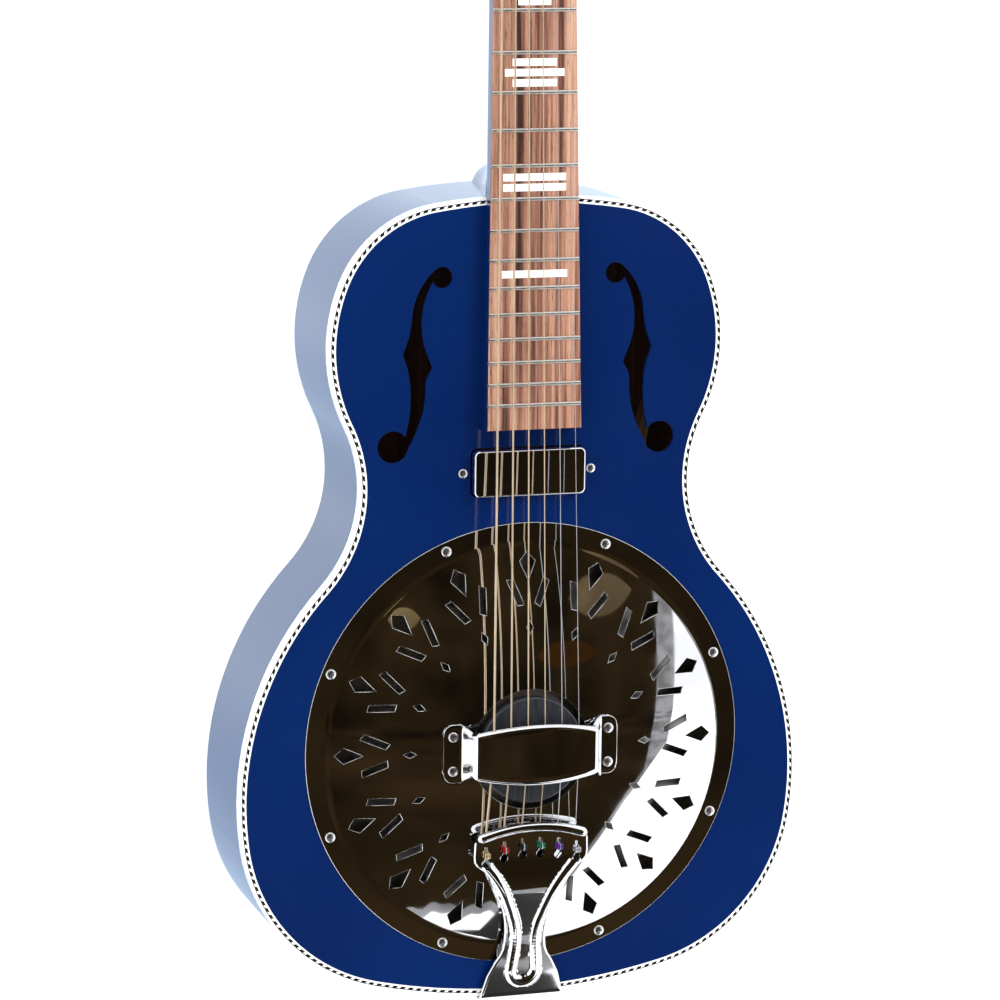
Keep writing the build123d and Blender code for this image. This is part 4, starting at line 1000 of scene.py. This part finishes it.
def screws(node, places, out, radius, height, shank, length):
    """Screws of one kind, heads outward along out, in one mesh that replaces a CAD node."""
    half = [0.12, 0.14, 0.3, 0.44, 0.55, 0.57, 0.7, 0.82, 0.91, 0.97, 1.0]
    grid = [-value for value in reversed(half)] + [0.0] + half
    size = len(grid)
    along = Vector((1, 0, 0))
    other = out.cross(along)
    points, faces = [], []
    for place in places:
        start = len(points)
        for x, y, rise in screw_head_points(radius, height, grid):
            points.append(place + (along * x + other * y + out * rise) * MM)
        faces += [tuple(start + index for index in face) for face in grid_faces(size, size)]
        rim = [column for column in range(size)] + [row * size + size - 1 for row in range(1, size)]
        rim += [(size - 1) * size + column for column in range(size - 2, -1, -1)]
        rim += [row * size for row in range(size - 2, 0, -1)]
        rings = [[start + index for index in rim]]
        for reach, depth in ((radius, 0.0), (shank, -0.01), (shank, 0.7 - length), (0.3, -length)):
            ring = []
            for index in rim:
                flat = points[start + index] - place
                flat -= out * flat.dot(out)
                ring.append(len(points))
                points.append(place + flat.normalized() * reach * MM + out * depth * MM)
            rings.append(ring)
        for upper, lower in zip(rings, rings[1:]):
            for index in range(len(rim)):
                after = (index + 1) % len(rim)
                faces.append((upper[index], lower[index], lower[after], upper[after]))
        faces.append(tuple(reversed(rings[-1])))
    mesh = mesh_of(f"{node}_heads", points, faces, "screw_metal")
    face_outward(mesh)
    shade(mesh, 38)
    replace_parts(add_piece(f"{node}_heads", mesh), node)


def all_screws():
    front = Vector((0, -1, 0))
    rim = [board(128 * cos(radians(22.5 + 45 * k)), 128 * sin(radians(22.5 + 45 * k)), 0.9) for k in range(8)]
    feet = [board(47.8 * a, 10.3 * b, 15.1) for a in (-1, 1) for b in (-1, 1)]
    screws("cover_screws", rim + feet, front, 3.0, 1.7, 1.15, 5.0)
    screws("pickup_screws", [board(-39.2, 164, 0), board(39.2, 164, 0)], front, 2.7, 1.6, 1.4, 17.0)
    bracket = [board(x, TAIL_END - 1.75, -depth) for x, depth in ((-13, 13), (13, 13), (0, 25))]
    screws("tailpiece_screws", bracket, Vector((0, 0, -1)), 3.2, 1.8, 1.5, 16.0)


all_screws()


# ---- ball ends, each with the string's locking twist behind it ----
def ball_ends():
    profile = [(0.9, -1.7), (1.6, -1.7), (2.0, -1.35), (2.0, -0.85), (1.55, -0.5), (1.55, 0.5), (2.0, 0.85),
               (2.0, 1.35), (1.6, 1.7), (0.9, 1.7)]
    (front, front_height), (bend, bend_height) = TAIL_PATH[:2]
    sides, loop_steps, loop_radius = 28, 40, 1.9
    for string in range(1, 7):
        x = BALL_SPREAD * (0.5 - (string - 1) / 5)
        along = BALL_PLACE - tail_sag(x)
        share = (along - front) / (bend - front)
        height = front_height + (bend_height - front_height) * share + TAIL_SHEET / 2 + BALL_LIFT
        centre = board(x, along, height)
        points = []
        for radius, reach in profile:
            for side in range(sides):
                angle = 2 * pi * side / sides
                points.append(centre + Vector((reach, radius * cos(angle), radius * sin(angle))) * MM)
        faces = grid_faces(len(profile), sides, close_rows=True, close_columns=True)
        key = f"ball_{string}"
        enamel = brushed_metal(key, BALL_COLOURS[string - 1], (0.22, 0.35), (900, 900, 900))
        materials[key] = enamel
        mesh = mesh_of(key, points, faces, key)
        shade(mesh, 35)
        ball = add_piece(f"ball_end_{string}", mesh)
        if string == 1:
            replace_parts(ball, "ball_ends")
        wire = min(STRING_RADII[string - 1], 0.4)
        loop = []
        for step in range(loop_steps + 1):
            angle = 2 * pi * step / loop_steps
            loop.append(centre + Vector((0, loop_radius * cos(angle), loop_radius * sin(angle))) * MM)
        name = f"ball_loop_{string}"
        add_piece(name, tube_mesh(name, loop, wire * 0.8, 10, "plain_string"))


ball_ends()


# ---- stage: pale floor, soft light, and glowing cards that only polished surfaces see, painted reflections of what is in front of it ----
FLOOR = cad_box[0].z - 0.42
FLOOR_RADIUS = 60.0
FLOOR_SIDES = 96
CARD_FLOOR = FLOOR + 0.004


def make_floor():
    turns = [2 * pi * k / FLOOR_SIDES for k in range(FLOOR_SIDES)]
    points = [(0, 0, FLOOR)] + [(FLOOR_RADIUS * cos(turn), FLOOR_RADIUS * sin(turn), FLOOR) for turn in turns]
    mesh = bpy.data.meshes.new("floor")
    mesh.from_pydata(points, [], [(0, 1 + k, 1 + (k + 1) % FLOOR_SIDES) for k in range(FLOOR_SIDES)])
    floor = bpy.data.objects.new("floor", mesh)
    paint = Paint("floor_paper", (0.86, 0.86, 0.87), 0.9)
    grain = paint.noise(3.0, 3.0)
    paint.set("Base Color", paint.ramp(grain, [(0.3, (0.85, 0.85, 0.86)), (0.7, (0.89, 0.89, 0.90))]))
    floor.data.materials.append(paint.material)
    scene.collection.objects.link(floor)


def mirror_card(name, points, faces, *glows, paints=None):
    """A card that shows in polished surfaces but neither lights nor shades anything."""
    mesh = bpy.data.meshes.new(name)
    mesh.from_pydata([tuple(point) for point in points], [], faces)
    for material in glows:
        mesh.materials.append(material)
    if paints:
        mesh.polygons.foreach_set("material_index", paints)
    card = bpy.data.objects.new(name, mesh)
    scene.collection.objects.link(card)
    card.visible_camera = False
    card.visible_diffuse = False
    card.visible_shadow = False
    card.visible_transmission = False
    card.visible_volume_scatter = False


def glow(name, stops, scale=0.9, rising=None):
    """A card's own light between two colours, clouded, or rising from one to the other over two heights."""
    material = bpy.data.materials.new(name)
    material.use_nodes = True
    tree = material.node_tree
    tree.nodes.clear()
    output = tree.nodes.new("ShaderNodeOutputMaterial")
    light = tree.nodes.new("ShaderNodeEmission")
    place = tree.nodes.new("ShaderNodeTexCoord")
    ramp = tree.nodes.new("ShaderNodeValToRGB")
    for element, (position, colour) in zip(ramp.color_ramp.elements, stops):
        element.position = position
        element.color = (*colour, 1)
    if rising:
        height = tree.nodes.new("ShaderNodeSeparateXYZ")
        share = tree.nodes.new("ShaderNodeMapRange")
        share.interpolation_type = "SMOOTHSTEP"
        share.inputs["From Min"].default_value = rising[0]
        share.inputs["From Max"].default_value = rising[1]
        tree.links.new(place.outputs["Object"], height.inputs[0])
        tree.links.new(height.outputs["Z"], share.inputs["Value"])
        tree.links.new(share.outputs["Result"], ramp.inputs["Fac"])
    else:
        cloud = tree.nodes.new("ShaderNodeTexNoise")
        cloud.inputs["Scale"].default_value = scale
        tree.links.new(place.outputs["Object"], cloud.inputs["Vector"])
        tree.links.new(cloud.outputs["Fac"], ramp.inputs["Fac"])
    light.inputs["Strength"].default_value = 1.0
    tree.links.new(ramp.outputs["Color"], light.inputs["Color"])
    tree.links.new(light.outputs["Emission"], output.inputs["Surface"])
    return material


def dark_room_reflection():
    """Glowing cards seen only in reflections, a painted reflection of the unlit room behind the camera: a
    grey strip where the pale floor ends, a dark floor, a wall.
    """
    hub = board(0, 0, 0)
    first, last, count = -42.0, 41.0, 83
    far, top, levels = 3.4, 2.6, 6
    bend_start = 19.0
    points, paints = [], []
    for step in range(count + 1):
        turn = first + (last - first) * step / count
        corner = max((turn - bend_start) / (last - bend_start), 0.0)
        ripple = 0.012 * sin(radians(turn * 34)) + 0.008 * sin(radians(turn * 83))
        near = 0.61 + 1.7 * corner ** 3 + ripple
        strip = near * 1.07
        ahead = Vector((sin(radians(turn)), -cos(radians(turn)), 0))
        reaches = [near, strip] + [strip + (far - strip) * k / levels for k in range(1, levels + 1)]
        for reach in reaches:
            points.append(Vector((hub.x, hub.y, CARD_FLOOR)) + ahead * reach)
        for rise in range(1, levels + 1):
            points.append(Vector((hub.x, hub.y, CARD_FLOOR + (top - FLOOR) * rise / levels)) + ahead * far)
    columns = 2 + 2 * levels
    faces = grid_faces(count + 1, columns)
    for index in range(len(faces)):
        row, column = divmod(index, columns - 1)
        paints.append(1 if column == 0 or row > count - 4 else 0)
    room_glow = glow("room_glow", [(0.34, (0.008, 0.0055, 0.003)), (0.7, (0.038, 0.023, 0.009))], 1.4)
    strip_glow = glow("strip_glow", [(0.4, (0.20, 0.20, 0.20)), (0.6, (0.42, 0.42, 0.43))], 7.0)
    mirror_card("dark_room_reflection", points, faces, room_glow, strip_glow, paints=paints)


def dark_mat_reflection():
    """A dark glowing card on the floor right before the guitar, seen only in reflections: a painted
    reflection of a dark mat, which the tailpiece mirrors.
    """
    hub = board(0, 0, 0)
    first, span, steps = -30, 85, 24
    points = []
    for step in range(steps + 1):
        turn = first + span * step / steps
        ahead = (sin(radians(turn)), cos(radians(turn)))
        far = 0.63 if 15 < turn < 25 else 0.545
        for reach in (0.08, 0.3, far):
            points.append((hub.x + reach * ahead[0], hub.y - reach * ahead[1], FLOOR + 0.005))
    mat_glow = glow("mat_glow", [(0.35, (0.020, 0.020, 0.018)), (0.7, (0.060, 0.060, 0.056))], 4.0)
    mirror_card("dark_mat_reflection", points, grid_faces(steps + 1, 3), mat_glow)


def pale_backdrop_reflection():
    """What the glossy sides see behind the guitar, a glowing card seen only in reflections: a painted
    reflection, bluish white high up, deeper blue near the floor.
    """
    half_width = 4.5
    profile = [(0.25, CARD_FLOOR), (1.2, CARD_FLOOR), (2.2, CARD_FLOOR), (2.5, FLOOR + 0.25),
               (2.5, FLOOR + 1.2), (2.5, FLOOR + 3.6)]
    points = [Vector((x, y, z)) for y, z in profile for x in (-half_width, half_width)]
    fade = glow("backdrop_glow", [(0.0, (0.50, 0.64, 0.86)), (1.0, (0.86, 1.00, 1.20))],
                rising=(FLOOR - 0.1, FLOOR + 0.75))
    mirror_card("pale_backdrop_reflection", points, grid_faces(len(profile), 2), fade)


def reflected_room_patch(name, turns, rises, colour, reach=3.3):
    """A lighter or darker glowing patch seen only in reflections: a painted reflection of a thing standing in
    the dark room.
    """
    hub = board(0, 0, 0)
    steps = 16
    points = []
    middle, half = (rises[0] + rises[1]) / 2, (rises[1] - rises[0]) / 2
    for step in range(steps + 1):
        turn = radians(turns[0] + (turns[1] - turns[0]) * step / steps)
        swell = (1 - abs(2 * step / steps - 1) ** 2.5) * (1 - 0.25 * step / steps)
        for rise in (middle - half * swell, middle + half * swell):
            height = reach * sin(radians(rise)) / cos(radians(rise))
            points.append(hub + Vector((reach * sin(turn), -reach * cos(turn), height)))
    dim = tuple(0.6 * value for value in colour)
    mirror_card(name, points, grid_faces(steps + 1, 2), glow(name, [(0.35, dim), (0.65, colour)], 2.5))


def soft_light(name, place, target, size, power):
    lamp = bpy.data.lights.new(name, "AREA")
    lamp.shape = "DISK"
    lamp.size = size
    lamp.energy = power
    light = bpy.data.objects.new(name, lamp)
    scene.collection.objects.link(light)
    light.location = place
    light.rotation_mode = "QUATERNION"
    light.rotation_quaternion = (Vector(place) - target).to_track_quat("Z", "Y")
    light.visible_glossy = False


def studio():
    world = bpy.data.worlds.new("studio")
    scene.world = world
    world.use_nodes = True
    sky = world.node_tree.nodes["Background"]
    sky.inputs["Color"].default_value = (0.97, 0.985, 1.0, 1)
    sky.inputs["Strength"].default_value = 1.35
    middle = (cad_box[0] + cad_box[1]) / 2
    soft_light("key", (1.9, -2.6, 1.4), middle, 1.2, 75.0)
    soft_light("fill", (-2.6, -1.6, 0.4), middle, 1.6, 25.0)
    soft_light("rear", (-0.8, 2.8, 1.2), middle, 1.6, 45.0)
    scene.view_settings.view_transform = "Standard"


make_floor()
dark_room_reflection()
dark_mat_reflection()
pale_backdrop_reflection()
reflected_room_patch("right_wall_reflection", (24.0, 34.5), (4.0, 11.0), (0.16, 0.115, 0.06))
reflected_room_patch("left_wall_reflection", (-4.5, 0.5), (4.5, 8.5), (0.22, 0.16, 0.075))
reflected_room_patch("crate_reflection", (18.5, 28.5), (-2.5, 1.8), (0.055, 0.022, 0.006), 3.2)
studio()
